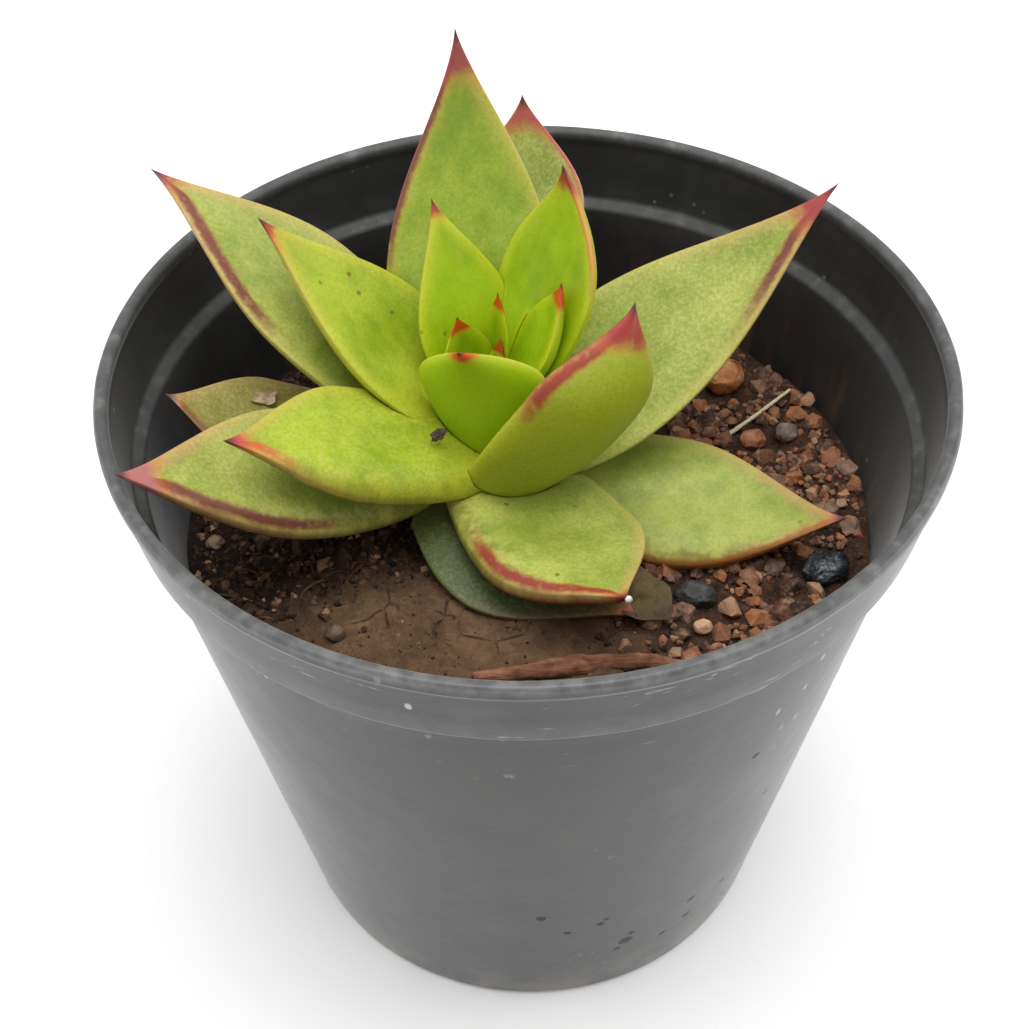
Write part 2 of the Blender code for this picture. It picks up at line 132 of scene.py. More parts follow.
# Leaves whose front margin rolls under: the side (1 is the left margin, seen from the stem) and how
# far it rolls, as a share of half the width
ROLLED = {
    "leaf_left_front": (1, 0.36), "leaf_left_low": (1, 0.30), "leaf_front_low": (-1, 0.26),
    "leaf_right_low": (-1, 0.24), "leaf_left_small": (1, 0.20),
}
ROLL_START = 0.12  # where the roll begins, as a share of half the width

# ---- what lies on the soil (mm) ----
STRAW = [(31.2, 13.2, 0.5), (36.9, 17.9, 1.2), (43.3, 23.4, 2.0)]
STRAW_RADIUS = 0.00035
ROOT_STICK = [
    (-8.0, -36.2, 0.9), (-2.0, -35.2, 1.5), (6.0, -33.8, 1.9), (14.0, -33.0, 1.7), (22.5, -33.6, 1.1),
]
ROOT_STICK_RADIUS = 0.0013


# ======== Small helpers: colours, meshes, pieces ========
def shade(red, green, blue):
    """A linear colour from the 0-255 values of a paint chart."""
    def linear(v):
        v /= 255
        return v / 12.92 if v <= 0.04045 else ((v + 0.055) / 1.055) ** 2.4
    return (linear(red), linear(green), linear(blue), 1.0)


def plain_mesh(name, points, faces, fields=None, flip_check=True):
    """A smooth-shaded mesh with its faces turned outwards and its named point values."""
    mesh = bpy.data.meshes.new(name)
    mesh.from_pydata([tuple(p) for p in points], [], [tuple(f) for f in faces])
    if flip_check:
        bm = bmesh.new()
        bm.from_mesh(mesh)
        bmesh.ops.recalc_face_normals(bm, faces=bm.faces)
        bm.to_mesh(mesh)
        bm.free()
    for key, values in (fields or {}).items():
        values = np.asarray(values, np.float32)
        kind = "FLOAT_VECTOR" if values.ndim == 2 else "FLOAT"
        held = mesh.attributes.new(key, kind, "POINT")
        held.data.foreach_set("vector" if values.ndim == 2 else "value", values.ravel())
    mesh.shade_smooth()
    return mesh


def loft(name, rows, first, last, fields=None):
    """A closed skin over rings of points, with a fan to one point at each end. A field holds a value
    for each ring point, then one for the first and one for the last point."""
    rows = np.asarray(rows, float)
    count, around = rows.shape[:2]
    points = np.vstack([rows.reshape(-1, 3), [first], [last]])
    faces = []
    for j in range(around):
        k = (j + 1) % around
        faces.append((count * around, k, j))
        faces.append((count * around + 1, (count - 1) * around + j, (count - 1) * around + k))
        for i in range(count - 1):
            low, high = i * around, (i + 1) * around
            faces.append((low + j, low + k, high + k, high + j))
    return plain_mesh(name, points, faces, fields)


def mesh_from(bm, name, smooth=True):
    """Closes this bmesh and gives it back as a mesh."""
    mesh = bpy.data.meshes.new(name)
    bm.to_mesh(mesh)
    bm.free()
    if smooth:
        mesh.shade_smooth()
    return mesh


def set_out(name, data):
    """A new object in the scene."""
    made = bpy.data.objects.new(name, data)
    bpy.context.scene.collection.objects.link(made)
    return made


def clear_away(*drafts):
    """Removes these objects, which were only aids."""
    for draft in drafts:
        bpy.data.objects.remove(draft, do_unlink=True)


def settled(name, draft):
    """What the draft's modifiers make, as a plain mesh. The draft is cleared away."""
    graph = bpy.context.evaluated_depsgraph_get()
    made = bpy.data.meshes.new_from_object(draft.evaluated_get(graph))
    made.name = name
    draft.modifiers.clear()
    clear_away(draft)
    return made


def cut_by(name, mesh, cutters):
    """The mesh with the room of these objects cut out of it."""
    draft = set_out(name + "_draft", mesh)
    for cutter in cutters:
        bite = draft.modifiers.new("cut", "BOOLEAN")
        bite.operation, bite.solver, bite.object = "DIFFERENCE", "MANIFOLD", cutter
    return settled(name, draft)


def ring_of(count):
    """This many headings, evenly round a circle."""
    return [2 * math.pi * j / count for j in range(count)]


def add_piece(name, mesh, look, slot, *stands_for):
    """A finished piece of the object, which stands for these CAD nodes."""
    piece = set_out(name, mesh)
    mesh.materials.clear()
    mesh.materials.append(look)
    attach(piece, "root")
    if stands_for:
        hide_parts(*stands_for)
    return piece


def swell(point, scale, depth=3, seed=0.0):
    """Soft noise from about -1 to 1 at this point, for a surface's unevenness."""
    place = Vector(point) * scale + Vector((seed, 2.3 * seed, -1.7 * seed))
    return noise.fractal(place, 0.9, 2.1, depth)


def smooth_path(points, steps):
    """A smooth curve through these points."""
    points = [Vector(p) for p in points]
    ends = [2 * points[0] - points[1], *points, 2 * points[-1] - points[-2]]
    made = []
    for a, b, c, d in zip(ends, ends[1:], ends[2:], ends[3:]):
        for i in range(steps):
            t = i / steps
            made.append(0.5 * (2 * b + (c - a) * t + (2 * a - 5 * b + 4 * c - d) * t ** 2
                               + (3 * b - a - 3 * c + d) * t ** 3))
    return [*made, points[-1]]


# ======== Materials ========
class Wiring:
    """Adds nodes to a tree and wires them. A socket takes another node's output or a plain value."""

    def add(self, kind, settings=None, **values):
        made = self.tree.nodes.new(kind)
        for key, value in (settings or {}).items():
            setattr(made, key, value)
        for key, value in values.items():
            self.put(made.inputs[key.replace("_", " ")], value)
        return made

    def put(self, socket, value):
        if isinstance(value, bpy.types.NodeSocket):
            self.tree.links.new(value, socket)
        else:
            socket.default_value = value

    def calc(self, way, first, second=0.0):
        made = self.add("ShaderNodeMath", {"operation": way})
        self.put(made.inputs[0], first)
        self.put(made.inputs[1], second)
        return made.outputs[0]

    def spread(self, way, *numbers):
        """Maps a value from one span to another. numbers are the value and both spans' ends."""
        made = self.add("ShaderNodeMapRange", {"interpolation_type": way})
        for socket, number in zip(made.inputs, numbers):
            self.put(socket, number)
        return made.outputs[0]


class Look(Wiring):
    """Builds one node material. Its methods add nodes and give back their output sockets."""

    def __init__(self, name, roughness=0.5, specular=0.5, **constants):
        self.material = bpy.data.materials.new(name)
        self.material.use_nodes = True
        self.tree = self.material.node_tree
        self.shader = self.tree.nodes["Principled BSDF"]
        self.shader.inputs["Roughness"].default_value = roughness
        self.shader.inputs["Specular IOR Level"].default_value = specular
        for key, value in constants.items():
            self.shader.inputs[key.replace("_", " ")].default_value = value
        self.place = self.add("ShaderNodeTexCoord").outputs["Object"]

    def field(self, name, output="Fac"):
        """A value that the mesh carries."""
        return self.add("ShaderNodeAttribute", {"attribute_name": name}).outputs[output]

    def split(self, vector):
        return self.add("ShaderNodeSeparateXYZ", Vector=vector).outputs

    def moved(self, stretch=(1, 1, 1), shift=(0, 0, 0), turn=(0, 0, 0)):
        """The place on the piece, stretched, shifted and turned for a pattern."""
        return self.add(
            "ShaderNodeMapping", Vector=self.place, Scale=stretch, Location=shift, Rotation=turn
        ).outputs[0]

    def noise(self, scale, detail=2.0, rough=0.5, where=None, twist=0.0):
        return self.add(
            "ShaderNodeTexNoise", Vector=where or self.place, Scale=scale, Detail=detail,
            Roughness=rough, Distortion=twist,
        ).outputs[0]

    def cells(self, scale, feature="F1", where=None):
        return self.add(
            "ShaderNodeTexVoronoi", {"feature": feature}, Vector=where or self.place, Scale=scale,
        ).outputs["Distance"]

    def times(self, first, *others):
        for other in others:
            first = self.calc("MULTIPLY", first, other)
        return first

    def plus(self, first, *others):
        for other in others:
            first = self.calc("ADD", first, other)
        return first

    def ease(self, value, low, high, start=0.0, end=1.0):
        """Rises smoothly from start to end as the value goes from low to high."""
        return self.spread("SMOOTHSTEP", value, low, high, start, end)

    def mix(self, share, first, second):
        made = self.add("ShaderNodeMix", {"data_type": "RGBA"}, Factor=share)
        self.put(made.inputs[6], first)
        self.put(made.inputs[7], second)
        return made.outputs[2]

    def ramp(self, value, stops):
        """Colours by value. A stop is (place, red, green, blue)."""
        made = self.add("ShaderNodeValToRGB")
        elements = made.color_ramp.elements
        while len(elements) < len(stops):
            elements.new(0.5)
        for element, (spot, *paint) in zip(elements, stops):
            element.position, element.color = spot, shade(*paint)
        self.put(made.inputs[0], value)
        return made.outputs[0]

    def near(self, point, radius, soft=0.5):
        """1 within this radius of a point, fading to 0."""
        gap = self.add("ShaderNodeVectorMath", {"operation": "DISTANCE"})
        self.put(gap.inputs[0], self.place)
        gap.inputs[1].default_value = point
        return self.ease(gap.outputs["Value"], radius, radius * (1 - soft))

    def finish(self, colour, roughness=None, reliefs=()):
        """Wires the colour, roughness and bumps. A relief is (height, distance, strength)."""
        self.put(self.shader.inputs["Base Color"], colour)
        if roughness is not None:
            self.put(self.shader.inputs["Roughness"], roughness)
        under = {}
        for height, distance, strength in reliefs:
            bump = self.add("ShaderNodeBump", Height=height, Distance=distance, Strength=strength, **under)
            under = {"Normal": bump.outputs[0]}
        if under:
            self.put(self.shader.inputs["Normal"], under["Normal"])
        return self.material


CRIMSON = shade(150, 34, 38)
BUD_RED = shade(198, 62, 22)
MAROON = shade(112, 40, 44)
PINK = shade(186, 104, 98)
ORANGE = shade(196, 104, 40)
MUCRO = shade(52, 24, 34)

# Greens of each kind of leaf: deep, light, towards the base and margins, underside
GREENS = {
    "heart": (shade(134, 164, 2), shade(158, 190, 6), shade(188, 200, 16), shade(156, 186, 6)),
    "inner": (shade(128, 152, 12), shade(158, 178, 34), shade(188, 192, 44), shade(156, 170, 28)),
    "outer": (shade(130, 148, 50), shade(164, 176, 76), shade(188, 188, 88), shade(128, 126, 32)),
    "tall": (shade(118, 144, 18), shade(148, 170, 42), shade(176, 180, 56), shade(128, 132, 30)),
    "dull": (shade(134, 130, 54), shade(166, 158, 84), shade(178, 162, 88), shade(110, 96, 40)),
    # painted shade: the shade greens are a darker copy of the leaf greens, for the leaf that lies in shadow
    # under the front leaves
    "shade": (shade(56, 74, 34), shade(76, 92, 44), shade(84, 92, 46), shade(50, 58, 28)),
}


def leaf_look(name, kind, bloom, stripes, tip, tip_colour, blush=0.0, seed=0.0):
    """A succulent leaf's skin: mottled green with bloom, pinholes, a fine pale margin, stripes along
    the margins and a coloured tip. stripes hold side, start, end, inset, width (mm) and colour."""
    look = Look(
        "skin_" + name, roughness=0.46, specular=0.42, Subsurface_Weight=0.16,
        Subsurface_Radius=(0.6, 1.0, 0.25), Subsurface_Scale=0.0016,
    )
    deep, light, edge_green, under = GREENS[kind]
    place = look.moved(shift=(0.37 * seed, 0.11 * seed, 0.23 * seed))
    run = look.split(look.field("run", "Vector"))
    along, across, edge = run[0], run[1], run[2]
    upper = look.field("upper")
    cloud = look.noise(85, 3, 0.55, place)
    streak = look.noise(420, 2, 0.5, look.moved((1.0, 1.0, 0.35), (0.2 * seed, 0, 0)))
    fine = look.noise(1900, 3, 0.62, place)
    broken = look.noise(620, 3, 0.65, place)
    wander = look.calc("SUBTRACT", broken, 0.5)

    colour = look.mix(look.ease(cloud, 0.36, 0.66), deep, light)
    colour = look.mix(look.ease(streak, 0.35, 0.75, 0.0, 0.30), colour, edge_green)
    to_base = look.ease(along, 0.34, 0.02, 0.0, 0.75)
    to_edge = look.ease(edge, 2.6, 0.2, 0.0, 0.70)
    colour = look.mix(look.calc("MAXIMUM", to_base, to_edge), colour, edge_green)
    colour = look.mix(look.ease(upper, 0.05, -0.55, 0.0, 0.85), colour, under)
    # rolled margins: partly the underside's own green showing at the roll, partly painted shade on the band
    # that turns away from the light
    if name in ROLLED:
        fold = look.ease(look.times(across, float(ROLLED[name][0])), 0.42, 0.86, 0.0, 0.62)
        colour = look.mix(fold, colour, look.mix(look.ease(streak, 0.4, 0.6), under, edge_green))
    # wax bloom: a pale film of fine grains, and tiny darker pores between them
    film = look.times(look.ease(fine, 0.42, 0.72), look.ease(cloud, 0.25, 0.7, 0.4, 1.0), bloom)
    colour = look.mix(film, colour, shade(214, 208, 146))
    pores = look.times(look.ease(fine, 0.50, 0.30), 0.38)
    colour = look.mix(pores, colour, deep)
    # a few corky pinholes
    cell = look.plus(look.cells(230, where=place), look.times(wander, 0.10))
    rare = look.ease(look.noise(120, 1, 0.5, look.moved(shift=(seed, 4.0, 1.0))), 0.60, 0.66)
    colour = look.mix(look.times(look.ease(cell, 0.12, 0.05), rare, 0.75), colour, shade(112, 70, 40))
    # blush that spreads in from the tip and the margins
    if blush:
        spread = look.times(
            look.ease(look.plus(edge, look.times(wander, 5.0)), 3.4, 0.2),
            look.ease(along, 0.25, 0.95), blush,
        )
        colour = look.mix(spread, colour, PINK)
    rim_line = look.times(look.ease(edge, 0.45, 0.05), look.ease(along, 0.2, 0.8), 0.12 + 0.6 * blush)
    colour = look.mix(rim_line, colour, shade(182, 128, 92))
    for side, start, end, inset, width, paint in stripes:
        on_side = look.ease(look.times(across, float(side)), 0.02, 0.12)
        reach = look.plus(along, look.times(wander, 0.22))
        window = look.times(look.ease(reach, start, start + 0.20), look.ease(along, end + 0.02, end))
        off = look.calc("ABSOLUTE", look.plus(edge, -inset))
        off = look.plus(off, look.times(wander, 1.5 * width))
        halo = look.times(look.ease(off, 2.0 * width, 0.7 * width), window, on_side, 0.15)
        colour = look.mix(halo, colour, ORANGE)
        band = look.times(
            look.ease(off, 1.45 * width, 0.35 * width), look.ease(broken, 0.22, 0.46, 0.55, 1.0),
            window, on_side, 0.90)
        colour = look.mix(band, colour, paint)
    # tip: an orange fringe, the tip's own colour, and the hard dark point
    tipwards = look.plus(along, look.times(wander, 0.07), look.times(edge, -0.003))
    colour = look.mix(look.ease(tipwards, tip - 0.060, tip - 0.005, 0.0, 0.34), colour, ORANGE)
    colour = look.mix(look.ease(tipwards, tip - 0.028, tip + 0.028, 0.0, 0.92), colour, tip_colour)
    colour = look.mix(look.ease(along, 0.945, 0.985, 0.0, 0.85), colour, MUCRO)
    rough = look.ease(cloud, 0.3, 0.7, 0.40, 0.54)
    return look.finish(colour, rough, [
        (look.noise(170, 2, 0.5, place), 0.00035, 0.55),
        (fine, 0.00005, 0.75),
    ])


# kind, bloom, stripes (side, start, end, inset, width, colour), tip start, tip colour, blush
LEAF_LOOKS = {
    "leaf_front_inner": ("inner", 0.16, [(-1, 0.40, 0.99, 0.50, 0.70, CRIMSON)], 0.86, CRIMSON, 0.20),
    "leaf_front_heart": ("heart", 0.03, [], 0.905, BUD_RED, 0.0),
    "bud_right": ("heart", 0.02, [], 0.83, BUD_RED, 0.0),
    "bud_middle": ("heart", 0.02, [], 0.76, BUD_RED, 0.0),
    "bud_left": ("heart", 0.02, [], 0.80, BUD_RED, 0.0),
    "bud_back": ("heart", 0.02, [], 0.82, BUD_RED, 0.0),
    "leaf_left_heart": ("heart", 0.02, [], 0.91, CRIMSON, 0.10),
    "leaf_left_inner": ("inner", 0.15, [(1, 0.80, 0.99, 0.30, 0.8, ORANGE)], 0.93, CRIMSON, 0.15),
    "leaf_back_inner": (
        "heart", 0.02, [(-1, 0.50, 0.99, 0.10, 0.40, shade(196, 140, 62))], 0.90, CRIMSON, 0.08),
    "leaf_right_outer": (
        "outer", 0.50, [(-1, 0.56, 0.99, 1.5, 0.85, MAROON)], 0.88, shade(158, 58, 62), 0.35),
    "leaf_left_front": (
        "inner", 0.26, [(1, 0.72, 0.99, 1.5, 1.2, shade(188, 78, 44))], 0.925, shade(176, 58, 60), 0.30),
    "leaf_front_low": ("outer", 0.32, [(-1, 0.26, 0.99, 1.9, 1.3, CRIMSON)], 0.950, CRIMSON, 0.35),
    "leaf_back_tall": (
        "tall", 0.16, [(1, 0.28, 0.99, 0.15, 0.85, MAROON)], 0.875, shade(146, 62, 66), 0.20),
    "leaf_left_outer": (
        "outer", 0.34, [(1, 0.40, 0.99, 1.5, 1.05, MAROON)], 0.93, shade(150, 52, 56), 0.35),
    "leaf_left_low": (
        "outer", 0.48, [(1, 0.30, 0.99, 2.0, 1.2, MAROON)], 0.88, shade(170, 104, 104), 0.55),
    "leaf_left_small": (
        "dull", 0.48, [(1, 0.45, 0.99, 0.6, 1.1, shade(122, 88, 44))], 0.955, shade(206, 168, 150), 0.15),
    "leaf_right_low": (
        "outer", 0.22, [(-1, 0.12, 0.99, 0.1, 1.15, shade(150, 92, 34))], 0.955, PINK, 0.45),
    "leaf_back_low": ("outer", 0.60, [(-1, 0.60, 0.99, 0.2, 0.6, PINK)], 0.90, shade(176, 82, 76), 0.35),
    "leaf_back_left": ("dull", 0.40, [(1, 0.5, 0.99, 0.6, 1.0, MAROON)], 0.90, PINK, 0.5),
    "leaf_back_right": ("dull", 0.40, [(-1, 0.5, 0.99, 0.6, 1.0, MAROON)], 0.90, PINK, 0.5),
    # painted shade: this leaf takes the darker shade greens because it lies in shadow
    "leaf_under_front": ("shade", 0.16, [], 0.93, PINK, 0.20),
}


def withered_look():
    """A dead leaf: brown and olive, wrinkled along its length."""
    look = Look("skin_withered", roughness=0.62, specular=0.35)
    along = look.split(look.field("run", "Vector"))[0]
    folds = look.noise(260, 4, 0.6, look.moved((1, 1, 3.0)))
    colour = look.ramp(folds, [
        (0.25, 58, 44, 26), (0.50, 98, 80, 46), (0.75, 128, 112, 66)])
    colour = look.mix(look.ease(along, 0.80, 0.99, 0.0, 0.6), colour, shade(60, 42, 30))
    return look.finish(colour, look.ease(folds, 0.2, 0.8, 0.5, 0.75), [
        (folds, 0.0006, 0.9), (look.noise(1300, 3), 0.00008, 0.8)])


def stem_look():
    """The stem's bark, ringed by old leaf scars."""
    look = Look("stem_bark", roughness=0.7, specular=0.3)
    rings = look.noise(260, 4, 0.6, look.moved((1, 1, 4.0)))
    colour = look.ramp(rings, [
        (0.3, 82, 62, 38), (0.52, 118, 110, 58), (0.72, 142, 140, 80)])
    return look.finish(colour, look.ease(rings, 0.2, 0.8, 0.6, 0.8), [(rings, 0.0004, 0.9)])


# Chips and stains on the pot's outside (mm): the place, and how far each reaches
POT_CHIPS = [
    ((14.6, -41.9, 18.1), 1.9), ((15.6, -42.3, 20.6), 1.0), ((16.4, -42.6, 22.6), 0.7),
    ((13.2, -41.6, 15.6), 1.0), ((25.3, -37.3, 22.7), 1.3), ((25.0, -36.3, 16.3), 1.3),
    ((0.9, -46.8, 33.7), 1.2), ((5.0, -45.5, 27.1), 0.9), ((10.1, -44.9, 28.5), 1.0),
    ((11.0, -44.9, 30.0), 0.8), ((31.1, -31.9, 19.3), 1.0), ((32.4, -28.2, 9.2), 0.9),
    ((30.7, -42.4, 68.3), 1.1), ((35.2, -34.2, 47.6), 0.9), ((21.0, -38.4, 14.0), 1.0),
    ((-31.0, 35.5, 26.0), 1.1), ((-36.0, -24.5, 14.0), 0.9),
]


def pot_look():
    """Matte black nursery plastic, greyed by dust and handling outside, darker inside, with painted
    highlights on its edges.
    """
    look = Look("dusty_plastic", roughness=0.45, specular=0.55, Sheen_Weight=0.36, Sheen_Roughness=0.30)
    parts = look.split(look.place)
    height = parts[2]
    inner = look.field("inner")
    worn = look.field("worn")
    cloud = look.noise(26, 4, 0.6)
    patch = look.noise(95, 4, 0.62)
    grain = look.noise(1400, 3, 0.6)
    wipes = look.noise(70, 4, 0.6, look.moved((1, 1, 0.16)), 0.6)
    dust = look.plus(look.times(cloud, 0.55), look.times(patch, 0.30), look.times(wipes, 0.15))
    outside = look.ramp(dust, [
        (0.32, 26, 26, 26), (0.50, 39, 39, 38), (0.66, 58, 57, 55)])
    # the collar keeps more of its black
    collar = look.ease(height, LEDGE - 0.0004, LEDGE + 0.0006, 0.0, 0.55)
    outside = look.mix(collar, outside, look.ramp(patch, [
        (0.35, 18, 18, 19), (0.58, 32, 32, 33), (0.75, 66, 66, 67)]))
    foot = look.ease(height, 0.016, 0.0, 0.0, 0.35)
    outside = look.mix(look.times(foot, look.ease(patch, 0.4, 0.6)), outside, shade(140, 132, 120))
    # scuffs: short pale strokes, mostly on the collar
    strokes = look.noise(150, 3, 0.7, look.moved((1, 1, 5.0), turn=(0.2, 0.3, 0.0)), 0.4)
    scuff = look.times(look.ease(strokes, 0.64, 0.74), look.ease(height, 0.080, LEDGE + 0.002, 0.02, 0.60))
    outside = look.mix(scuff, outside, shade(168, 170, 172))
    nick = look.cells(330, where=look.moved((1, 1, 0.6)))
    nick = look.times(look.ease(nick, 0.20, 0.09), look.ease(look.noise(60, 2), 0.56, 0.66))
    nick = look.times(nick, look.ease(height, 0.06, LEDGE, 0.1, 0.8))
    outside = look.mix(nick, outside, shade(186, 188, 190))
    # soil specks low down on one side
    side = look.ease(look.plus(parts[0], look.times(parts[1], -0.4)), 0.010, 0.045)
    low = look.times(look.ease(height, 0.050, 0.012), side)
    specks = look.times(
        look.ease(look.cells(240), 0.17, 0.10), look.ease(look.noise(120, 2), 0.53, 0.60), low)
    outside = look.mix(look.times(specks, 0.9), outside, shade(26, 24, 22))
    # chips and stains at their own places, with ragged outlines
    chips = 0.0
    for spot, reach in POT_CHIPS:
        chips = look.calc("MAXIMUM", chips, look.near([v / 1000 for v in spot], reach / 1000, 0.7))
    ragged = look.plus(chips, look.times(look.plus(look.noise(900, 3, 0.6), -0.5), 1.1))
    chips = look.times(look.ease(ragged, 0.42, 0.62), look.ease(chips, 0.0, 0.15))
    outside = look.mix(look.times(chips, 0.95), outside, shade(10, 9, 8))

    # inside: blacker, with lint and with mud washed down to the soil
    soot = look.plus(look.times(patch, 0.5), look.times(wipes, 0.5))
    inside = look.ramp(soot, [
        (0.35, 24, 24, 24), (0.55, 34, 34, 34), (0.72, 50, 49, 48)])
    lint = look.times(look.ease(look.cells(260), 0.12, 0.05), look.ease(look.noise(90, 2), 0.55, 0.62), 0.7)
    inside = look.mix(lint, inside, shade(120, 118, 114))
    runs = look.noise(240, 3, 0.6, look.moved((1, 1, 0.12)))
    mud = look.times(
        look.ease(runs, 0.50, 0.66), look.ease(height, SOIL_TOP + 0.016, SOIL_TOP), 0.6)
    inside = look.mix(mud, inside, shade(86, 60, 44))
    chipped = look.times(chips, look.plus(look.times(inner, -1.0), 1.0))
    colour = look.mix(inner, outside, inside)
    # edges grey, partly rubbed wear and partly painted highlight where they catch the light; the extra
    # paleness on the front lip is painted highlight
    rub_and_front_glint = look.plus(look.noise(420, 3, 0.5), look.ease(parts[1], -0.020, -0.058, 0.0, 0.16))
    edge_grey_and_glint = look.ramp(rub_and_front_glint, [
        (0.30, 66, 66, 66), (0.55, 78, 78, 78), (0.85, 112, 112, 111)])
    colour = look.mix(look.times(worn, look.ease(patch, 0.25, 0.6, 0.75, 1.0)), colour, edge_grey_and_glint)
    rough = look.plus(
        look.ease(dust, 0.35, 0.65, 0.36, 0.50), look.times(inner, 0.16), look.times(chipped, 0.40))
    fine_lines = look.noise(900, 2, 0.5, look.moved((0.05, 0.05, 1.0)))
    return look.finish(colour, rough, [
        (patch, 0.0003, 0.35), (fine_lines, 0.00004, 0.35), (grain, 0.00003, 0.4),
        (scuff, 0.00008, 0.6),
    ])


def soil_look():
    """Clay-like brown soil: a smooth dry clod, dark crumbs round it."""
    look = Look("potting_soil", roughness=0.92, specular=0.22)
    clod = look.field("clod")
    big = look.noise(75, 4, 0.6)
    crumbs = look.noise(430, 5, 0.68)
    grains = look.noise(1700, 3, 0.7)
    dark = look.ramp(look.plus(look.times(big, 0.4), look.times(crumbs, 0.6)), [
        (0.34, 16, 11, 9), (0.50, 34, 24, 18), (0.66, 68, 48, 36)])
    clay = look.ramp(look.plus(look.times(big, 0.5), look.times(crumbs, 0.5)), [
        (0.34, 78, 57, 41), (0.50, 108, 82, 60), (0.68, 138, 110, 82)])
    colour = look.mix(clod, dark, clay)
    red = look.ease(look.split(look.place)[0], 0.010, 0.032, 0.0, 0.55)
    colour = look.mix(red, colour, look.ramp(crumbs, [
        (0.35, 46, 32, 25), (0.55, 88, 60, 45), (0.70, 126, 90, 68)]))
    colour = look.mix(look.ease(grains, 0.60, 0.74, 0.0, 0.55), colour, shade(168, 134, 104))
    seams = look.cells(150, "DISTANCE_TO_EDGE", where=look.moved(shift=(0.01, 0.02, 0)))
    crack = look.times(look.ease(seams, 0.030, 0.006), clod, look.ease(big, 0.50, 0.60), 0.7)
    # painted shade: the cracks are coloured dark brown for the shade inside them
    colour = look.mix(crack, colour, shade(52, 36, 27))
    return look.finish(colour, look.ease(crumbs, 0.3, 0.7, 0.85, 0.97), [
        (crumbs, 0.0011, 0.9), (grains, 0.0003, 0.9), (look.calc("SUBTRACT", 1.0, crack), 0.0006, 0.8)])


def gravel_look(name, stops, pale, roughness):
    """Broken stone: each grain takes its own tone from the tint value that it carries."""
    look = Look(name, roughness=roughness, specular=0.3)
    tint = look.field("tint")
    dust = look.noise(520, 4, 0.65)
    colour = look.ramp(tint, stops)
    colour = look.mix(look.ease(dust, 0.46, 0.72, 0.0, 0.55), colour, pale)
    colour = look.mix(look.ease(dust, 0.46, 0.30, 0.0, 0.60), colour, shade(44, 28, 22))
    speck = look.noise(1900, 2, 0.6)
    return look.finish(colour, look.ease(dust, 0.3, 0.7, roughness - 0.08, roughness + 0.06), [
        (dust, 0.0006, 0.8), (speck, 0.00014, 0.8)])


def stone_look(name, start, tones, roughness, fleck, fleck_share=0.3, relief=0.0006, coat=0.0):
    """Stone in three tones, dark to light, with flecks. start is where the ramp's dark tone lies."""
    look = Look(name, roughness=roughness, specular=0.5, Coat_Weight=coat, Coat_Roughness=0.12)
    body = look.noise(330, 5, 0.62)
    facets = look.cells(420, where=look.moved((1, 1, 1.3)))
    colour = look.ramp(look.plus(look.times(body, 0.75), look.times(facets, 0.3)), [
        (start + 0.20 * i, *tone) for i, tone in enumerate(tones)])
    dots = look.noise(1800, 2, 0.6)
    colour = look.mix(look.ease(dots, 0.60, 0.70, 0.0, fleck_share), colour, shade(*fleck))
    rough = look.ease(body, 0.3, 0.7, max(0.05, roughness - 0.10), min(1.0, roughness + 0.10))
    return look.finish(colour, rough, [(body, relief, 0.9), (dots, 0.0001, 0.8)])


def root_look(name, tones, along_scale=0.12):
    """Woody fibre in three tones, dark to light. The fibres run along X by this scale."""
    look = Look(name, roughness=0.85, specular=0.2)
    fibres = look.noise(900, 4, 0.65, look.moved((along_scale, 1, 1)))
    bits = look.noise(600, 3, 0.6)
    colour = look.ramp(look.plus(look.times(fibres, 0.6), look.times(bits, 0.4)), [
        (spot, *tone) for spot, tone in zip((0.34, 0.50, 0.68), tones)])
    return look.finish(colour, look.ease(bits, 0.3, 0.7, 0.78, 0.92), [
        (fibres, 0.0005, 0.9), (bits, 0.0002, 0.7)])


# ======== Pot ========
def wall_outside(z):
    """The radius of the tapered wall's outside at this height."""
    top = RIM_RADIUS - COLLAR_TAPER - COLLAR_STEP
    return BASE_RADIUS + (top - BASE_RADIUS) * z / LEDGE


def rounded(profile, radius, steps=4):
    """The profile with each inner corner rounded."""
    made = [Vector(profile[0])]
    for a, b, c in zip(profile, profile[1:], profile[2:]):
        a, b, c = Vector(a), Vector(b), Vector(c)
        back, on = a - b, c - b
        reach = min(radius, 0.42 * back.length, 0.42 * on.length)
        start, end = b + reach * back.normalized(), b + reach * on.normalized()
        for i in range(steps + 1):
            t = i / steps
            made.append((1 - t) ** 2 * start + 2 * t * (1 - t) * b + t * t * end)
    return [*made, Vector(profile[-1])]


def evenly(profile, step):
    """The profile with long straights divided, so that the wall can carry slight unevenness."""
    made = [profile[0]]
    for a, b in zip(profile, profile[1:]):
        parts = max(1, int((b - a).length / step))
        made += [a.lerp(b, (i + 1) / parts) for i in range(parts)]
    return made


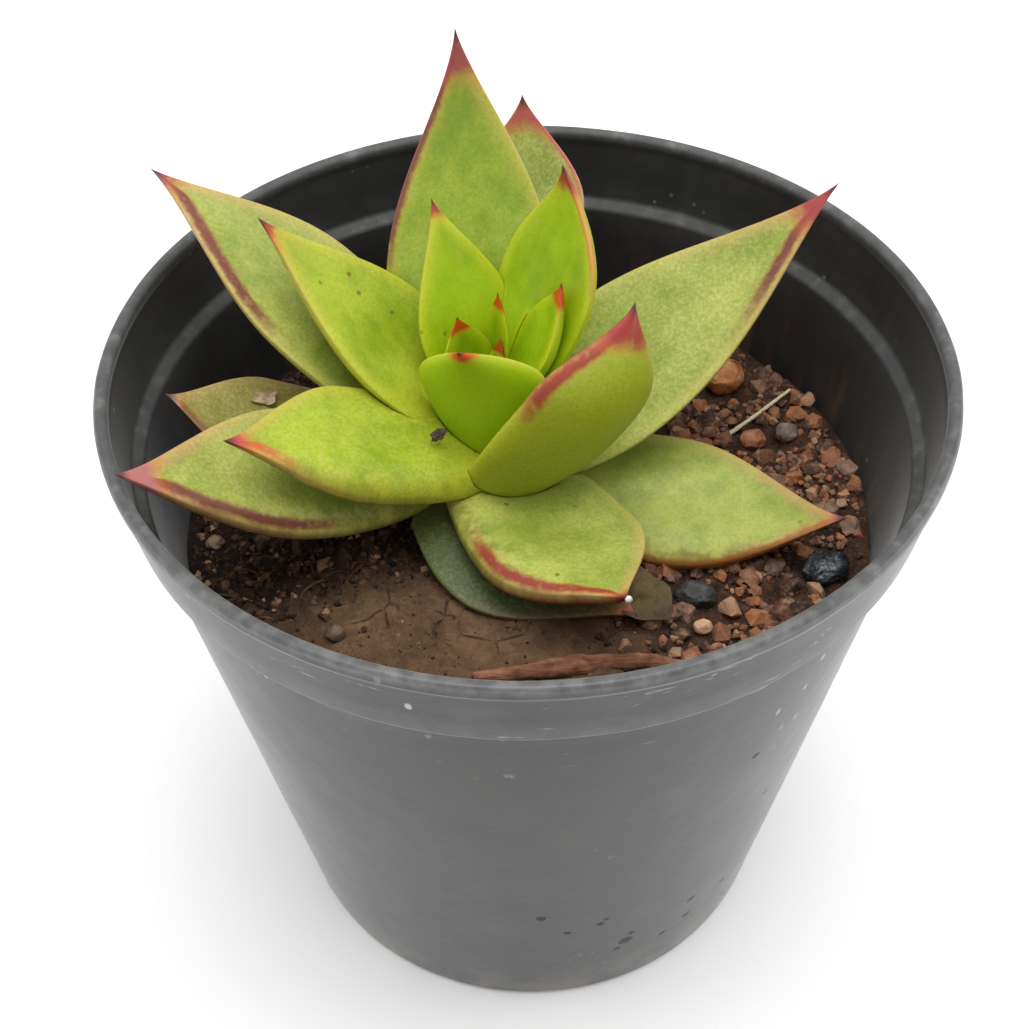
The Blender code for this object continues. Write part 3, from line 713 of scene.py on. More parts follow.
def pot_mesh():
    """The pot turned on its axis, slightly uneven, from the inside of its base round to the underside."""
    foot = RIM_RADIUS - COLLAR_TAPER
    corners = [
        (0.0, FLOOR),
        (wall_outside(FLOOR) - WALL - 0.0012, FLOOR),
        (wall_outside(FLOOR + 0.0012) - WALL, FLOOR + 0.0012),
        (wall_outside(LEDGE - 0.001) - WALL, LEDGE - 0.001),
        (foot - WALL, LEDGE + 0.0003),
        (RIM_RADIUS - 0.0016, POT_HEIGHT - 0.0024),
        (RIM_RADIUS - 0.0020, POT_HEIGHT - 0.0014),
        (RIM_RADIUS - 0.0019, POT_HEIGHT - 0.0005),
        (RIM_RADIUS - 0.0013, POT_HEIGHT),
        (RIM_RADIUS - 0.0004, POT_HEIGHT),
        (RIM_RADIUS, POT_HEIGHT - 0.0005),
        (RIM_RADIUS, POT_HEIGHT - 0.0017),
        (RIM_RADIUS - 0.0004, POT_HEIGHT - 0.0024),
        (foot, LEDGE),
        (foot - 0.0003, LEDGE - 0.0005),
        (wall_outside(LEDGE - 0.0011), LEDGE - 0.0008),
        (wall_outside(0.0010), 0.0010),
        (BASE_RADIUS - 0.0008, 0.0),
        (0.0, 0.0),
    ]
    rows = evenly(rounded(corners, 0.0005), 0.0040)[1:-1]
    top = max(range(len(rows)), key=lambda i: rows[i].y)
    points, inner, worn = [], [], []
    for i, (r, z) in enumerate(rows):
        # the edges painted grey, partly as wear from handling and partly as painted highlight where they
        # catch the light: the lip, the step inside and the collar's foot
        lip = math.exp(-((z - POT_HEIGHT) / 0.0016) ** 2) * (1.0 if r > RIM_RADIUS - 0.0022 else 0.6)
        step = 0.8 * math.exp(-((z - LEDGE + 0.0003) / 0.0009) ** 2) if i < top else 0.0
        ridge = 0.35 * math.exp(-((z - LEDGE - 0.0002) / 0.00035) ** 2) if i > top else 0.0
        for a in ring_of(POT_TURNS):
            x, y = math.cos(a), math.sin(a)
            wave = 0.00012 * math.sin(3 * a + 0.7) * z / POT_HEIGHT
            wave += 0.00006 * swell((x * 3, y * 3, z * 60), 1.0)
            wave *= min(1.0, r / 0.02)
            dent = 0.00008 * max(0.0, swell((6 * x, 6 * y, z * 300), 1.0, 2)) if i > top else 0.0
            out = min(r + wave - dent, RIM_RADIUS)
            points.append((out * x, out * y, z))
            inner.append(1.0 if i < top else 0.0)
            worn.append(max(lip, step, ridge))
    rows_array = np.array(points).reshape(len(rows), POT_TURNS, 3)
    return loft("pot_shell", rows_array, (0, 0, FLOOR), (0, 0, 0), {
        "inner": [*inner, 1.0, 0.0], "worn": [*worn, 0.0, 0.0]})


def drain_drills():
    """One drill through the base for each drain hole."""
    bm = bmesh.new()
    for a in ring_of(DRAIN_HOLES):
        place = Matrix.Translation((
            DRAIN_RING_RADIUS * math.cos(a), DRAIN_RING_RADIUS * math.sin(a), FLOOR / 2))
        bmesh.ops.create_cone(
            bm, cap_ends=True, segments=40, radius1=DRAIN_HOLE_RADIUS, radius2=DRAIN_HOLE_RADIUS,
            depth=FLOOR * 4, matrix=place)
    return set_out("drain_drills", mesh_from(bm, "drain_drills", smooth=False))


drills = drain_drills()
pot_shell = cut_by("pot_shell", pot_mesh(), [drills])
pot_shell.set_sharp_from_angle(angle=POT_CREASE)
clear_away(drills)
add_piece("pot_shell", pot_shell, pot_look(), "pot_plastic", "pot")


# ======== Rosette ========
def stem_axis(below_rim):
    """Point on the stem's axis at this depth below the rim, in millimetres."""
    share = (below_rim / 1000 + STEM_FOOT[2]) / (STEM_FOOT[2] - STEM_HEAD[2])
    foot, head = Vector(STEM_FOOT), Vector(STEM_HEAD)
    return foot + (head - foot) * share + Vector((0, 0, POT_HEIGHT))


def fullness(t, widest, base, power):
    """Width or thickness at t along a leaf, as a share of the largest."""
    if t < widest:
        return base + (1 - base) * math.sin(math.pi / 2 * max(t, 0) / widest)
    return math.cos(math.pi / 2 * (t - widest) / (1 - widest)) ** power


def leaf_stations():
    """Places along a leaf, closer together at the heel and towards the tip, with their size."""
    heel = [
        (-HEEL_REACH * math.cos(a), math.sin(a)) for a in (math.radians(d) for d in range(12, 90, 13))
    ]
    body = [(float(t), 1.0) for t in np.linspace(0.0, 0.80, 30)]
    tip = [(float(t), 1.0) for t in 1 - 0.2 * np.linspace(0.97, 0.02, 24) ** 1.15]
    return heel + body + tip


def leaf_mesh(name, sizes, seed, crumple=0.0, grow=0.0):
    """A leaf from its row of sizes. crumple wrinkles its skin, and grow makes it this much thicker. It
    carries how far along, how far across and how near the margin (mm) each point of its skin lies, and
    whether that is above or below."""
    heading, rise, length, width, below, seat_at, seat_out, roll, sag, widest, heel = sizes
    heading, rise, seat_at, roll = (math.radians(v) for v in (heading, rise, seat_at, roll))
    length, width, seat_out = length / 1000, width / 1000, seat_out / 1000
    seat = stem_axis(below) + seat_out * Vector((math.cos(seat_at), math.sin(seat_at), 0))
    along = Vector((
        math.cos(heading) * math.cos(rise), math.sin(heading) * math.cos(rise), math.sin(rise)))
    across = Vector((-math.sin(heading), math.cos(heading), 0))
    across = math.cos(roll) * across + math.sin(roll) * along.cross(across)
    face = along.cross(across)

    def middle(t):
        return seat + t * length * along - sag * length * 4 * t * (1 - t) * (0.5 + t) * face

    side, roll_under = ROLLED.get(name.split("_", 1)[1], (0, 0.0))
    rows, run, upper = [], [], []
    for t, size in leaf_stations():
        half = size * width / 2 * fullness(t, widest, heel, TIP_POWER)
        thick = size * LEAF_THICKNESS * width * fullness(t, 0.3, 0.75, 0.8)
        ring = []
        for a in ring_of(LEAF_AROUND):
            c, s = math.cos(a), math.sin(a)
            up = thick * s * (UPPER_SHARE if s > 0 else 1 - UPPER_SHARE) + CUP * half * c * c
            if s > 0:  # a shallow channel down the middle of the upper face
                up -= 0.03 * half * s * math.exp(-(c / 0.3) ** 2)
            rolled = max(0.0, (c * side - ROLL_START) / (1 - ROLL_START)) ** 2 * roll_under
            rolled *= min(1.0, 4 * (1 - t)) * half
            edge_wave = 1 + 0.010 * math.sin(9 * t + seed + c) * abs(c)
            point = middle(t) + (half * edge_wave * c - side * rolled) * across + (up - rolled) * face
            bend = 0.010 * half * swell(point, 95, 2, seed) + grow * max(-1.0, min(1.0, 2.5 * s))
            if crumple:
                bend += crumple * thick * swell(point, 420, 3, seed + 5) * min(1.0, size)
            ring.append(point + bend * face + grow * c * across)
            run.append((t, c, 1000 * half * (1 - abs(c))))
            upper.append(s)
        rows.append(ring)
    run += [(-HEEL_REACH, 0.0, 0.0), (1.0, 0.0, 0.0)]
    upper += [0.0, 0.0]
    rows = [[tuple(p) for p in ring] for ring in rows]
    return loft(name, rows, middle(-HEEL_REACH), middle(1.0), {"run": run, "upper": upper})


def skin_of(mesh):
    """The mesh's faces, for measuring against."""
    bm = bmesh.new()
    bm.from_mesh(mesh)
    made = BVHTree.FromBMesh(bm)
    bm.free()
    return made


def largest_body(mesh):
    """Keeps the largest of the bodies that the cuts leave."""
    bm = bmesh.new()
    bm.from_mesh(mesh)
    left, bodies = set(bm.faces), []
    while left:
        body, reached = [], [left.pop()]
        while reached:
            face = reached.pop()
            body.append(face)
            for edge in face.edges:
                for other in edge.link_faces:
                    if other in left:
                        left.discard(other)
                        reached.append(other)
        bodies.append(body)
    bodies.sort(key=lambda body: sum(face.calc_area() for face in body))
    for small in bodies[:-1]:
        bmesh.ops.delete(bm, geom=small, context="FACES")
    bm.to_mesh(mesh)
    bm.free()


def pressed_clear(name, mesh, rooms):
    """The leaf cut clear of the leaves that lie on it, so that they press together with no overlap."""
    own = skin_of(mesh)
    met = [room for room in rooms if own.overlap(skin_of(room.data))]
    if not met:
        return mesh
    made = cut_by(name, mesh, met)
    largest_body(made)
    made.set_sharp_from_angle(angle=LEAF_CREASE)
    return made


def bead_seat(mesh):
    """A place on this leaf's upper skin, just behind its tip."""
    tip = max(mesh.vertices, key=lambda v: v.co.x - 1.7 * v.co.y).co
    spot, outwards = skin_of(mesh).find_nearest(tip + Vector((-0.0006, -0.0004, 0.0010)))[:2]
    return spot + 0.4 * BEAD_RADIUS * outwards


# A room is the space that a leaf takes with the gap round it. The inner leaves come first, and each
# later one is cut clear of the rooms before it.
rooms = []
for number, (node, sizes) in enumerate(LEAVES.items()):
    name, seed, crumple = "fine_" + node, number * 1.7, CRUMPLE if node == "leaf_withered" else 0.0
    mesh = pressed_clear(name, leaf_mesh(name, sizes, seed, crumple), rooms)
    room = "room_" + node
    rooms.append(set_out(room, leaf_mesh(room, sizes, seed, crumple, PRESS_GAP)))
    if node == "leaf_front_low":
        bead_place = bead_seat(mesh)
    if node == "leaf_withered":
        add_piece("withered_leaf", mesh, withered_look(), "leaf_dead", node)
        continue
    # the leaf in the shade greens, which are painted shade, goes to the dark leaf slot
    slot = "leaf_dark" if LEAF_LOOKS[node][0] == "shade" else "leaf"
    if node.startswith("bud") or node in ("leaf_front_heart", "leaf_left_heart"):
        slot = "leaf_heart"
    add_piece(name, mesh, leaf_look(node, *LEAF_LOOKS[node], seed=number + 1.0), slot, node)
clear_away(*rooms)


def stem_mesh():
    """The short stem, with the scars of old leaves round it."""
    foot, head = stem_axis(-STEM_FOOT[2] * 1000), stem_axis(STEM_TOP * 1000)
    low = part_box("stem")[0].z
    rows = []
    for z in map(float, np.linspace(low + 0.001, head.z, 34)):
        k = (z - foot.z) / (head.z - foot.z)
        centre = foot + (head - foot) * max(0.0, k)
        width = STEM_FOOT_RADIUS + (STEM_TOP_RADIUS - STEM_FOOT_RADIUS) * max(0.0, k)
        ring = []
        for a in ring_of(STEM_AROUND):
            scar = 0.06 * math.sin(900 * z + 3 * a) + 0.05 * swell((math.cos(a), math.sin(a), z * 400), 1.2)
            r = width * (0.94 + scar * 0.8)
            ring.append((centre.x + r * math.cos(a), centre.y + r * math.sin(a), z))
        rows.append(ring)
    return loft("stem_core", rows, (foot.x, foot.y, low), (head.x, head.y, head.z + 0.0004))


add_piece("stem_core", stem_mesh(), stem_look(), "stem", "stem")


# ======== Soil ========
def soil_height(x, y):
    """The soil's top here: a mound under the rosette, the clod at the front and slight waves."""
    mound = 0.0012 * math.exp(-((x + 0.008) ** 2 + (y - 0.004) ** 2) / 0.0006)
    clod = 0.0020 * clod_share(x, y)
    waves = 0.0005 * math.sin(310 * x + 1.0) * math.sin(270 * y + 2.0)
    waves += 0.0003 * math.sin(620 * x + 480 * y)
    return SOIL_TOP + mound + clod + waves


def clod_share(x, y):
    """How much this place belongs to the dry clod, from 0 to 1."""
    return 1 / (1 + math.exp(min(60, ((x + 0.010) ** 2 / 0.00075 + (y + 0.030) ** 2 / 0.00022 - 1) * 3)))


CRACK_SEED = 5
noise.seed_set(CRACK_SEED)  # without it noise_vector, and so the cracks, would differ from run to run


def crack_depth(x, y):
    """Depth of the drying cracks in the clod."""
    place = Vector((x * 80 + 0.3, y * 80, 0.5))
    some = max(0.0, min(1.0, 0.35 + 1.6 * noise.noise(place * 0.9)))
    place += 0.8 * noise.noise_vector(place * 1.3)
    near, next_one = noise.voronoi(place)[0][:2]
    return some * math.exp(-((next_one - near) / 0.05) ** 2)


def soil_mesh(spokes=300):
    """The soil from its underside up the wall and in over its uneven top."""
    inset = WALL + SOIL_GAP
    floor_radius = wall_outside(FLOOR) - inset - 0.0014
    side = [(share * floor_radius, FLOOR + SOIL_GAP) for share in (0.3, 0.65, 1.0)]
    side += [
        (wall_outside(z) - inset, z)
        for z in (FLOOR + (SOIL_TOP - FLOOR) * share for share in (0.04, 0.2, 0.4, 0.6, 0.8, 0.93))
    ]
    edge = wall_outside(SOIL_TOP - 0.002) - inset
    angles = ring_of(spokes)
    rows, clod = [], []
    for r, z in side:
        rows.append([(r * math.cos(a), r * math.sin(a), z) for a in angles])
        clod += [0.0] * spokes
    for share in map(float, np.linspace(1.0, 0.012, 118)):
        ring = []
        for a in angles:
            x, y = share * edge * math.cos(a), share * edge * math.sin(a)
            smooth = clod_share(x, y)
            lumps = 0.00055 * swell((x, y, 0.1), 210, 4) + 0.00030 * swell((x, y, 0.3), 620, 3)
            z = soil_height(x, y) + lumps * (1 - 0.55 * smooth) * min(1.0, (1 - share) * 12 + 0.15)
            z -= 0.0007 * crack_depth(x, y) * smooth
            ring.append((x, y, z))
            clod.append(smooth)
        rows.append(ring)
    centre = (0, 0, soil_height(0, 0))
    return loft("soil_bed", rows, (0, 0, FLOOR + SOIL_GAP), centre, {"clod": [*clod, 0.0, 0.0]})


add_piece("soil_bed", soil_mesh(), soil_look(), "soil", "soil")


# ---- scattered stone and crumbs ----
SMALL_BIAS = 1.6  # above 1 there are more small grains than large ones
FULL_TURN = 6.283


def broken_stones(count, points, flat, seed):
    """A collection of low, angular stones of unit size, for scattering."""
    dice = random.Random(seed)
    group = bpy.data.collections.new(f"stone_shapes_{seed}")
    for number in range(count):
        bm = bmesh.new()
        for _ in range(points):
            way = Vector([dice.gauss(0, 1) for _ in range(3)]).normalized()
            way *= dice.uniform(0.85, 1.0)
            bm.verts.new((way.x * dice.uniform(0.42, 0.5), way.y * 0.44, way.z * flat * 0.5))
        hull = bmesh.ops.convex_hull(bm, input=bm.verts)
        spare = list(set(hull["geom_interior"] + hull["geom_unused"]))
        bmesh.ops.delete(bm, geom=spare, context="VERTS")
        bmesh.ops.recalc_face_normals(bm, faces=bm.faces)
        mesh = mesh_from(bm, f"broken_{seed}_{number}", smooth=False)
        group.objects.link(bpy.data.objects.new(mesh.name, mesh))
    return group


class Build(Wiring):
    """A Geometry Nodes tree with named inputs."""

    def __init__(self, name):
        self.tree = bpy.data.node_groups.new(name, "GeometryNodeTree")
        for way in ("INPUT", "OUTPUT"):
            self.tree.interface.new_socket("Geometry", in_out=way, socket_type="NodeSocketGeometry")
        self.inlet, self.outlet = self.add("NodeGroupInput"), self.add("NodeGroupOutput")
        self.values = {}

    def take(self, name, value):
        """A named number of the tree, with the value that the modifier gives it."""
        made = self.tree.interface.new_socket(name, in_out="INPUT", socket_type="NodeSocketFloat")
        self.values[made.identifier] = value
        return self.inlet.outputs[name]

    def field(self, name):
        """A value that the ground's points carry."""
        return self.add("GeometryNodeInputNamedAttribute", {"data_type": "FLOAT"}, Name=name).outputs[0]

    def chance(self, kind, low, high, seed):
        """A random value from low to high for each point."""
        made = self.add("FunctionNodeRandomValue", {"data_type": kind}, Seed=seed)
        live = [s for s in made.inputs if s.enabled]
        self.put(live[0], low)
        self.put(live[1], high)
        return next(s for s in made.outputs if s.enabled)

    def run_on(self, mesh, name, shape, look):
        """Ends the tree with this shape in this look, and gives its result on this mesh."""
        real = self.add("GeometryNodeRealizeInstances", Geometry=shape)
        painted = self.add("GeometryNodeSetMaterial", Geometry=real.outputs[0], Material=look)
        self.put(self.outlet.inputs[0], painted.outputs[0])
        carrier = set_out(name + "_carrier", mesh)
        nodes = carrier.modifiers.new("build", "NODES")
        nodes.node_group = self.tree
        for key, value in self.values.items():
            nodes[key] = value
        return settled(name, carrier)


def scatter(name, ground, shapes, look, amount, sizes, field, seed, sink=0.0):
    """Scatters these shapes over the ground. amount is the count per square centimetre where the
    ground's field is 1, and sizes the smallest and largest in millimetres."""
    build = Build(name + "_scatter")
    per_area = build.take("Count per square metre", amount * 1e4)
    smallest, largest = build.take("Smallest", sizes[0] / 1000), build.take("Largest", sizes[1] / 1000)
    depth = build.take("Sink", sink / 1000)
    spots = build.add(
        "GeometryNodeDistributePointsOnFaces", Mesh=build.inlet.outputs["Geometry"],
        Density=build.calc("MULTIPLY", build.field(field), per_area), Seed=seed)
    info = build.add(
        "GeometryNodeCollectionInfo", {"transform_space": "ORIGINAL"}, Collection=shapes,
        Separate_Children=True)
    turn = build.chance("FLOAT_VECTOR", (-0.5, -0.5, 0.0), (0.5, 0.5, FULL_TURN), seed + 1)
    share = build.calc("POWER", build.chance("FLOAT", 0.0, 1.0, seed + 2), SMALL_BIAS)
    placed = build.add(
        "GeometryNodeInstanceOnPoints", Points=spots.outputs["Points"], Instance=info.outputs[0],
        Rotation=turn, Scale=build.spread("LINEAR", share, 0.0, 1.0, smallest, largest),
        Pick_Instance=True)
    drop = build.add("ShaderNodeCombineXYZ", Z=build.calc("MULTIPLY", depth, -1.0))
    lowered = build.add(
        "GeometryNodeTranslateInstances", Instances=placed.outputs[0], Translation=drop.outputs[0],
        Local_Space=False)
    tinted = build.add(
        "GeometryNodeStoreNamedAttribute", {"data_type": "FLOAT", "domain": "INSTANCE"},
        Geometry=lowered.outputs[0], Name="tint")
    tint = build.chance("FLOAT", 0.0, 1.0, seed + 3)
    build.put(next(s for s in tinted.inputs if s.name == "Value" and s.enabled), tint)
    return build.run_on(ground, name, tinted.outputs[0], look)


def bed_ground(step=0.0012):
    """The soil's top as an open sheet that carries where each kind of scatter lies."""
    edge = wall_outside(SOIL_TOP) - WALL - step
    blocks = [tuple(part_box(node)) for node in frame["nodes"] if node.startswith("stone_")]
    count = int(2 * edge / step)
    points, index, fields = [], {}, {"stony": [], "crumbly": [], "gritty": []}
    for i in range(count + 1):
        for j in range(count + 1):
            x, y = -edge + i * step, -edge + j * step
            if x * x + y * y > edge * edge:
                continue
            index[i, j] = len(points)
            points.append((x, y, soil_height(x, y)))
            clod = clod_share(x, y)
            right = 1 / (1 + math.exp(-(x - 0.016 + 0.10 * (y + 0.01)) / 0.0025))
            free = not any(
                low.x - step < x < high.x + step and low.y - step < y < high.y + step
                for low, high in blocks)
            fields["stony"].append(right * (1 - clod) * free)
            fields["crumbly"].append((1 - right) * (1 - clod) ** 2 * free)
            fields["gritty"].append((0.25 + 0.75 * (1 - clod)) * free)
    faces = [
        (index[i, j], index[i + 1, j], index[i + 1, j + 1], index[i, j + 1])
        for i, j in index
        if all(k in index for k in ((i + 1, j), (i + 1, j + 1), (i, j + 1)))
    ]
    return plain_mesh("bed_ground", points, faces, fields, flip_check=False)


RED_STONE = [
    (0.0, 58, 42, 35), (0.20, 96, 66, 52), (0.42, 128, 86, 64),
    (0.62, 164, 104, 66), (0.80, 110, 90, 78), (1.0, 182, 140, 106),
]
DARK_CRUMB = [
    (0.0, 20, 15, 12), (0.40, 42, 30, 23), (0.70, 74, 52, 40),
    (0.93, 112, 82, 62), (1.0, 178, 138, 106),
]
gravel_skin = gravel_look("red_gravel", RED_STONE, shade(186, 142, 112), 0.82)
crumb_skin = gravel_look("soil_crumbs", DARK_CRUMB, shade(122, 94, 74), 0.92)
angular = broken_stones(7, 16, 0.75, 11)
lumps = broken_stones(8, 18, 0.85, 23)
splinters = broken_stones(5, 9, 0.7, 37)
for name, shapes, look, amount, sizes, field, seed, sink in (
    ("gravel_large", angular, gravel_skin, 13.0, (2.6, 5.2), "stony", 5, -0.3),
    ("gravel_small", angular, gravel_skin, 55.0, (1.1, 2.6), "stony", 17, -0.3),
    ("crumbs_large", lumps, crumb_skin, 16.0, (1.8, 4.6), "crumbly", 29, 0.3),
    ("crumbs_small", lumps, crumb_skin, 80.0, (0.6, 1.9), "crumbly", 41, -0.1),
    ("grit", splinters, crumb_skin, 90.0, (0.25, 0.8), "gritty", 53, 0.0),
):
    mesh = scatter(name, bed_ground(), shapes, look, amount, sizes, field, seed, sink)
    add_piece(name, mesh, look, "soil")
for group in (angular, lumps, splinters):
    clear_away(*group.objects)


# ======== Stones, root, straw and scrap ========
def fine_stone(name, node, half, turn, seed, rough, fine, detail):
    """A stone with the broad facets of its CAD node, and the breaks and pits of real stone."""
    bm = bmesh.new()
    bmesh.ops.create_icosphere(bm, subdivisions=detail, radius=1.0)
    # the CAD node's own seven facets, then a dozen shallower ones
    pushes = []
    for dice, count, depths in (
            (random.Random(seed), 7, (0.06, 0.2)), (random.Random(seed + 100), 12, (0.03, 0.10))):
        pushes += [
            (Vector([dice.uniform(-1, 1) for _ in range(3)]).normalized(), dice.uniform(*depths))
            for _ in range(count)
        ]
    for vert in bm.verts:
        for way, depth in pushes:
            over = vert.co.dot(way) - (1 - depth)
            if over > 0:
                vert.co -= way * over
        broad, pits = swell(vert.co, 1.6, 3, seed), abs(swell(vert.co, 6.0, 3, seed))
        vert.co *= 1 - rough + rough * broad - fine * pits
        vert.co = Vector([a * b for a, b in zip(vert.co, half)]) / 1000
    bmesh.ops.rotate(bm, verts=bm.verts, matrix=Matrix.Rotation(math.radians(turn), 3, "Z"))
    low = Vector([min(v.co[k] for v in bm.verts) for k in range(3)])
    high = Vector([max(v.co[k] for v in bm.verts) for k in range(3)])
    shift = (sum(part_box(node), Vector()) - low - high) / 2
    for vert in bm.verts:
        vert.co += shift
    return mesh_from(bm, name)


# ramp start, tones from dark to light, roughness, fleck, fleck share, relief, coat
STONE_LOOKS = {
    "black_stone": (
        0.35, ((20, 22, 24), (38, 42, 46), (78, 86, 92)), 0.34, (150, 158, 164), 0.45, 0.0009, 0.35),
    "dark_stone": (0.35, ((30, 28, 28), (52, 50, 50), (86, 84, 84)), 0.62, (120, 116, 112), 0.25),
    "ochre_stone": (0.32, ((120, 66, 34), (170, 104, 56), (206, 150, 96)), 0.70, (232, 190, 140), 0.35),
    "brown_stone": (0.32, ((104, 60, 44), (156, 96, 66), (190, 132, 96)), 0.78, (214, 170, 134)),
    "grey_stone": (0.32, ((82, 70, 62), (118, 104, 94), (150, 136, 122)), 0.80, (176, 160, 144)),
    "buff_stone": (0.32, ((168, 124, 92), (206, 164, 126), (232, 198, 162)), 0.74, (246, 222, 192)),
    "tan_stone": (0.32, ((86, 63, 46), (132, 100, 76), (172, 140, 110)), 0.82, (190, 160, 130), 0.25),
    "umber_stone": (0.32, ((60, 46, 38), (96, 76, 62), (126, 102, 84)), 0.85, (150, 124, 100)),
    "dead_scrap": (0.32, ((52, 42, 33), (92, 78, 63), (132, 116, 98)), 0.8, (150, 134, 114), 0.25),
    # painted highlight: the near-white bead that stands for the glint at the front leaf's tip
    "dried_sap": (
        0.32, ((206, 198, 186), (236, 230, 220), (248, 244, 238)), 0.45, (255, 252, 246), 0.2, 0.0001),
}

# node, half sizes (mm), turn, look, slot, broad roughness, fine pitting, how finely it is divided
STONES = [
    ("stone_black", (4.2, 3.4, 2.6), 20, "black_stone", "dark_stone", 0.10, 0.10, 5),
    ("stone_dark", (3.4, 2.6, 2.2), -10, "dark_stone", "dark_stone", 0.08, 0.05, 5),
    ("stone_orange", (3.9, 3.2, 3.0), 35, "ochre_stone", "brown_stone", 0.08, 0.05, 5),
    ("stone_tan", (1.5, 1.3, 1.2), 0, "buff_stone", "pale_stone", 0.06, 0.04, 4),
    ("stone_round", (1.6, 1.5, 1.3), 0, "umber_stone", "dark_stone", 0.06, 0.05, 4),
    ("stone_brown", (2.5, 2.2, 1.8), 50, "brown_stone", "brown_stone", 0.08, 0.05, 5),
    ("stone_grey", (2.2, 1.9, 1.6), 15, "grey_stone", "brown_stone", 0.08, 0.05, 5),
    ("stone_pale", (1.7, 1.5, 1.3), 30, "tan_stone", "brown_stone", 0.14, 0.10, 4),
]
for seed, (node, half, turn, look, slot, rough, fine, detail) in enumerate(STONES):
    name = "fine_" + node
    mesh = fine_stone(name, node, half, turn, seed, rough, fine, detail)
    add_piece(name, mesh, stone_look(look, *STONE_LOOKS[look]), slot, node)


def tube(name, path, radius_at, sides, rough=0.0, flat=1.0, seed=0.0):
    """A stick through these points. radius_at gives its radius from 0 at one end to 1 at the other."""
    rows = []
    for i, p in enumerate(path):
        way = (path[min(i + 1, len(path) - 1)] - path[max(i - 1, 0)]).normalized()
        side = way.cross(Vector((0, 0, 1))).normalized()
        over = side.cross(way)
        r = radius_at(i / (len(path) - 1))
        ring = []
        for a in ring_of(sides):
            spot = p + r * (math.cos(a) * side + flat * math.sin(a) * over)
            bark = swell(spot, 380, 3, seed) + 0.5 * swell((a * 2.2, i * 0.05, seed), 1.0)
            ring.append(tuple(p + (spot - p) * (1 + rough * bark)))
        rows.append(ring)
    first = path[0] - radius_at(0.0) * 0.4 * (path[1] - path[0]).normalized()
    last = path[-1] + radius_at(1.0) * 0.4 * (path[-1] - path[-2]).normalized()
    return loft(name, rows, first, last)


def over_soil(path, radius):
    """The path in metres, lifted wherever the soil rises over it."""
    lifted = []
    for x, y, height in ([v / 1000 for v in point] for point in path):
        lifted.append((x, y, max(SOIL_TOP + height, soil_height(x, y) + 0.3 * radius)))
    return lifted


def stick_radius(t):
    """Thickest in the middle, with slight knots."""
    return ROOT_STICK_RADIUS * (1 - 0.45 * abs(2 * t - 1) ** 2) * (1 + 0.10 * math.sin(17 * t))


def straw_radius(t):
    """Thinner towards its outer end."""
    return STRAW_RADIUS * (1.1 - 0.35 * t)


stick = smooth_path(over_soil(ROOT_STICK, ROOT_STICK_RADIUS), 26)
add_piece(
    "woody_root", tube("woody_root", stick, stick_radius, 28, 0.16, 1.0, 4.0),
    root_look("woody_root", [(84, 52, 38), (132, 88, 66), (168, 122, 96)]), "root", "root_stick")
blade = smooth_path(over_soil(STRAW, STRAW_RADIUS), 14)
add_piece(
    "dry_straw", tube("dry_straw", blade, straw_radius, 14, 0.10, 0.75, 2.0),
    root_look("dry_straw", [(170, 158, 120), (206, 196, 160), (232, 226, 200)]), "straw", "straw")
add_piece(
    "crown_scrap", fine_stone("crown_scrap", "scrap", (1.8, 0.9, 1.5), 35, 99, 0.34, 0.30, 5),
    stone_look("dead_scrap", *STONE_LOOKS["dead_scrap"]), "scrap", "scrap")


# ---- fine roots in the dark soil at the left, and round the crown ----
THREAD_REACH = wall_outside(SOIL_TOP) - WALL - 0.0016  # they stay this near to the pot's axis
THREAD_RADIUS = 0.0002
THREAD_STEPS = 26

# how many, then the spans of x and y (mm), of heading (degrees) and of length (mm)
THREAD_BEDS = [
    (22, (-40, -24), (-24, -8), (0, 360), (6, 14)), (8, (-14, 8), (-26, -16), (200, 340), (5, 9)),
    (14, (-34, 30), (20, 42), (0, 360), (6, 12)), (8, (20, 42), (-30, 8), (0, 360), (4, 9)),
]


def root_threads(name, starts, seed, look):
    """Thin roots: each wanders from its start over the soil and dips in at its end."""
    dice = random.Random(seed)
    points, edges, thick = [], [], []
    for x, y, heading, length in starts:
        spot, way = Vector((x / 1000, y / 1000)), math.radians(heading)
        girth = dice.uniform(0.12, 0.26) / 1000
        bend = dice.uniform(-0.09, 0.09)
        for i in range(THREAD_STEPS):
            t = i / (THREAD_STEPS - 1)
            lift = 0.0010 * math.sin(math.pi * t) * (0.6 + 0.5 * math.sin(9 * t + x)) - 0.0003
            points.append((spot.x, spot.y, soil_height(spot.x, spot.y) + lift))
            thick.append(girth * (1 - 0.7 * t) / THREAD_RADIUS)
            if i:
                edges.append((len(points) - 2, len(points) - 1))
            way += bend + dice.uniform(-0.16, 0.16)
            spot += Vector((math.cos(way), math.sin(way))) * length / 1000 / THREAD_STEPS
            if spot.length > THREAD_REACH:
                spot *= THREAD_REACH / spot.length
    mesh = bpy.data.meshes.new(name + "_paths")
    mesh.from_pydata(points, edges, [])
    held = mesh.attributes.new("thick", "FLOAT", "POINT")
    held.data.foreach_set("value", np.array(thick, np.float32))
    build = Build(name + "_build")
    girth = build.take("Thread radius", THREAD_RADIUS)
    line = build.add("GeometryNodeMeshToCurve", Mesh=build.inlet.outputs["Geometry"])
    profile = build.add("GeometryNodeCurvePrimitiveCircle", Resolution=6, Radius=girth)
    skin = build.add(
        "GeometryNodeCurveToMesh", Curve=line.outputs[0], Profile_Curve=profile.outputs[0],
        Scale=build.field("thick"), Fill_Caps=True)
    made = build.run_on(mesh, name, skin.outputs[0], look)
    made.shade_smooth()
    return made


dice = random.Random(8)
starts = [tuple(dice.uniform(*span) for span in spans) for count, *spans in THREAD_BEDS for _ in range(count)]
thread_look = root_look("root_threads", [(48, 32, 25), (86, 60, 45), (128, 98, 76)], 1.0)
add_piece("root_threads", root_threads("root_threads", starts, 8, thread_look), thread_look, "root")
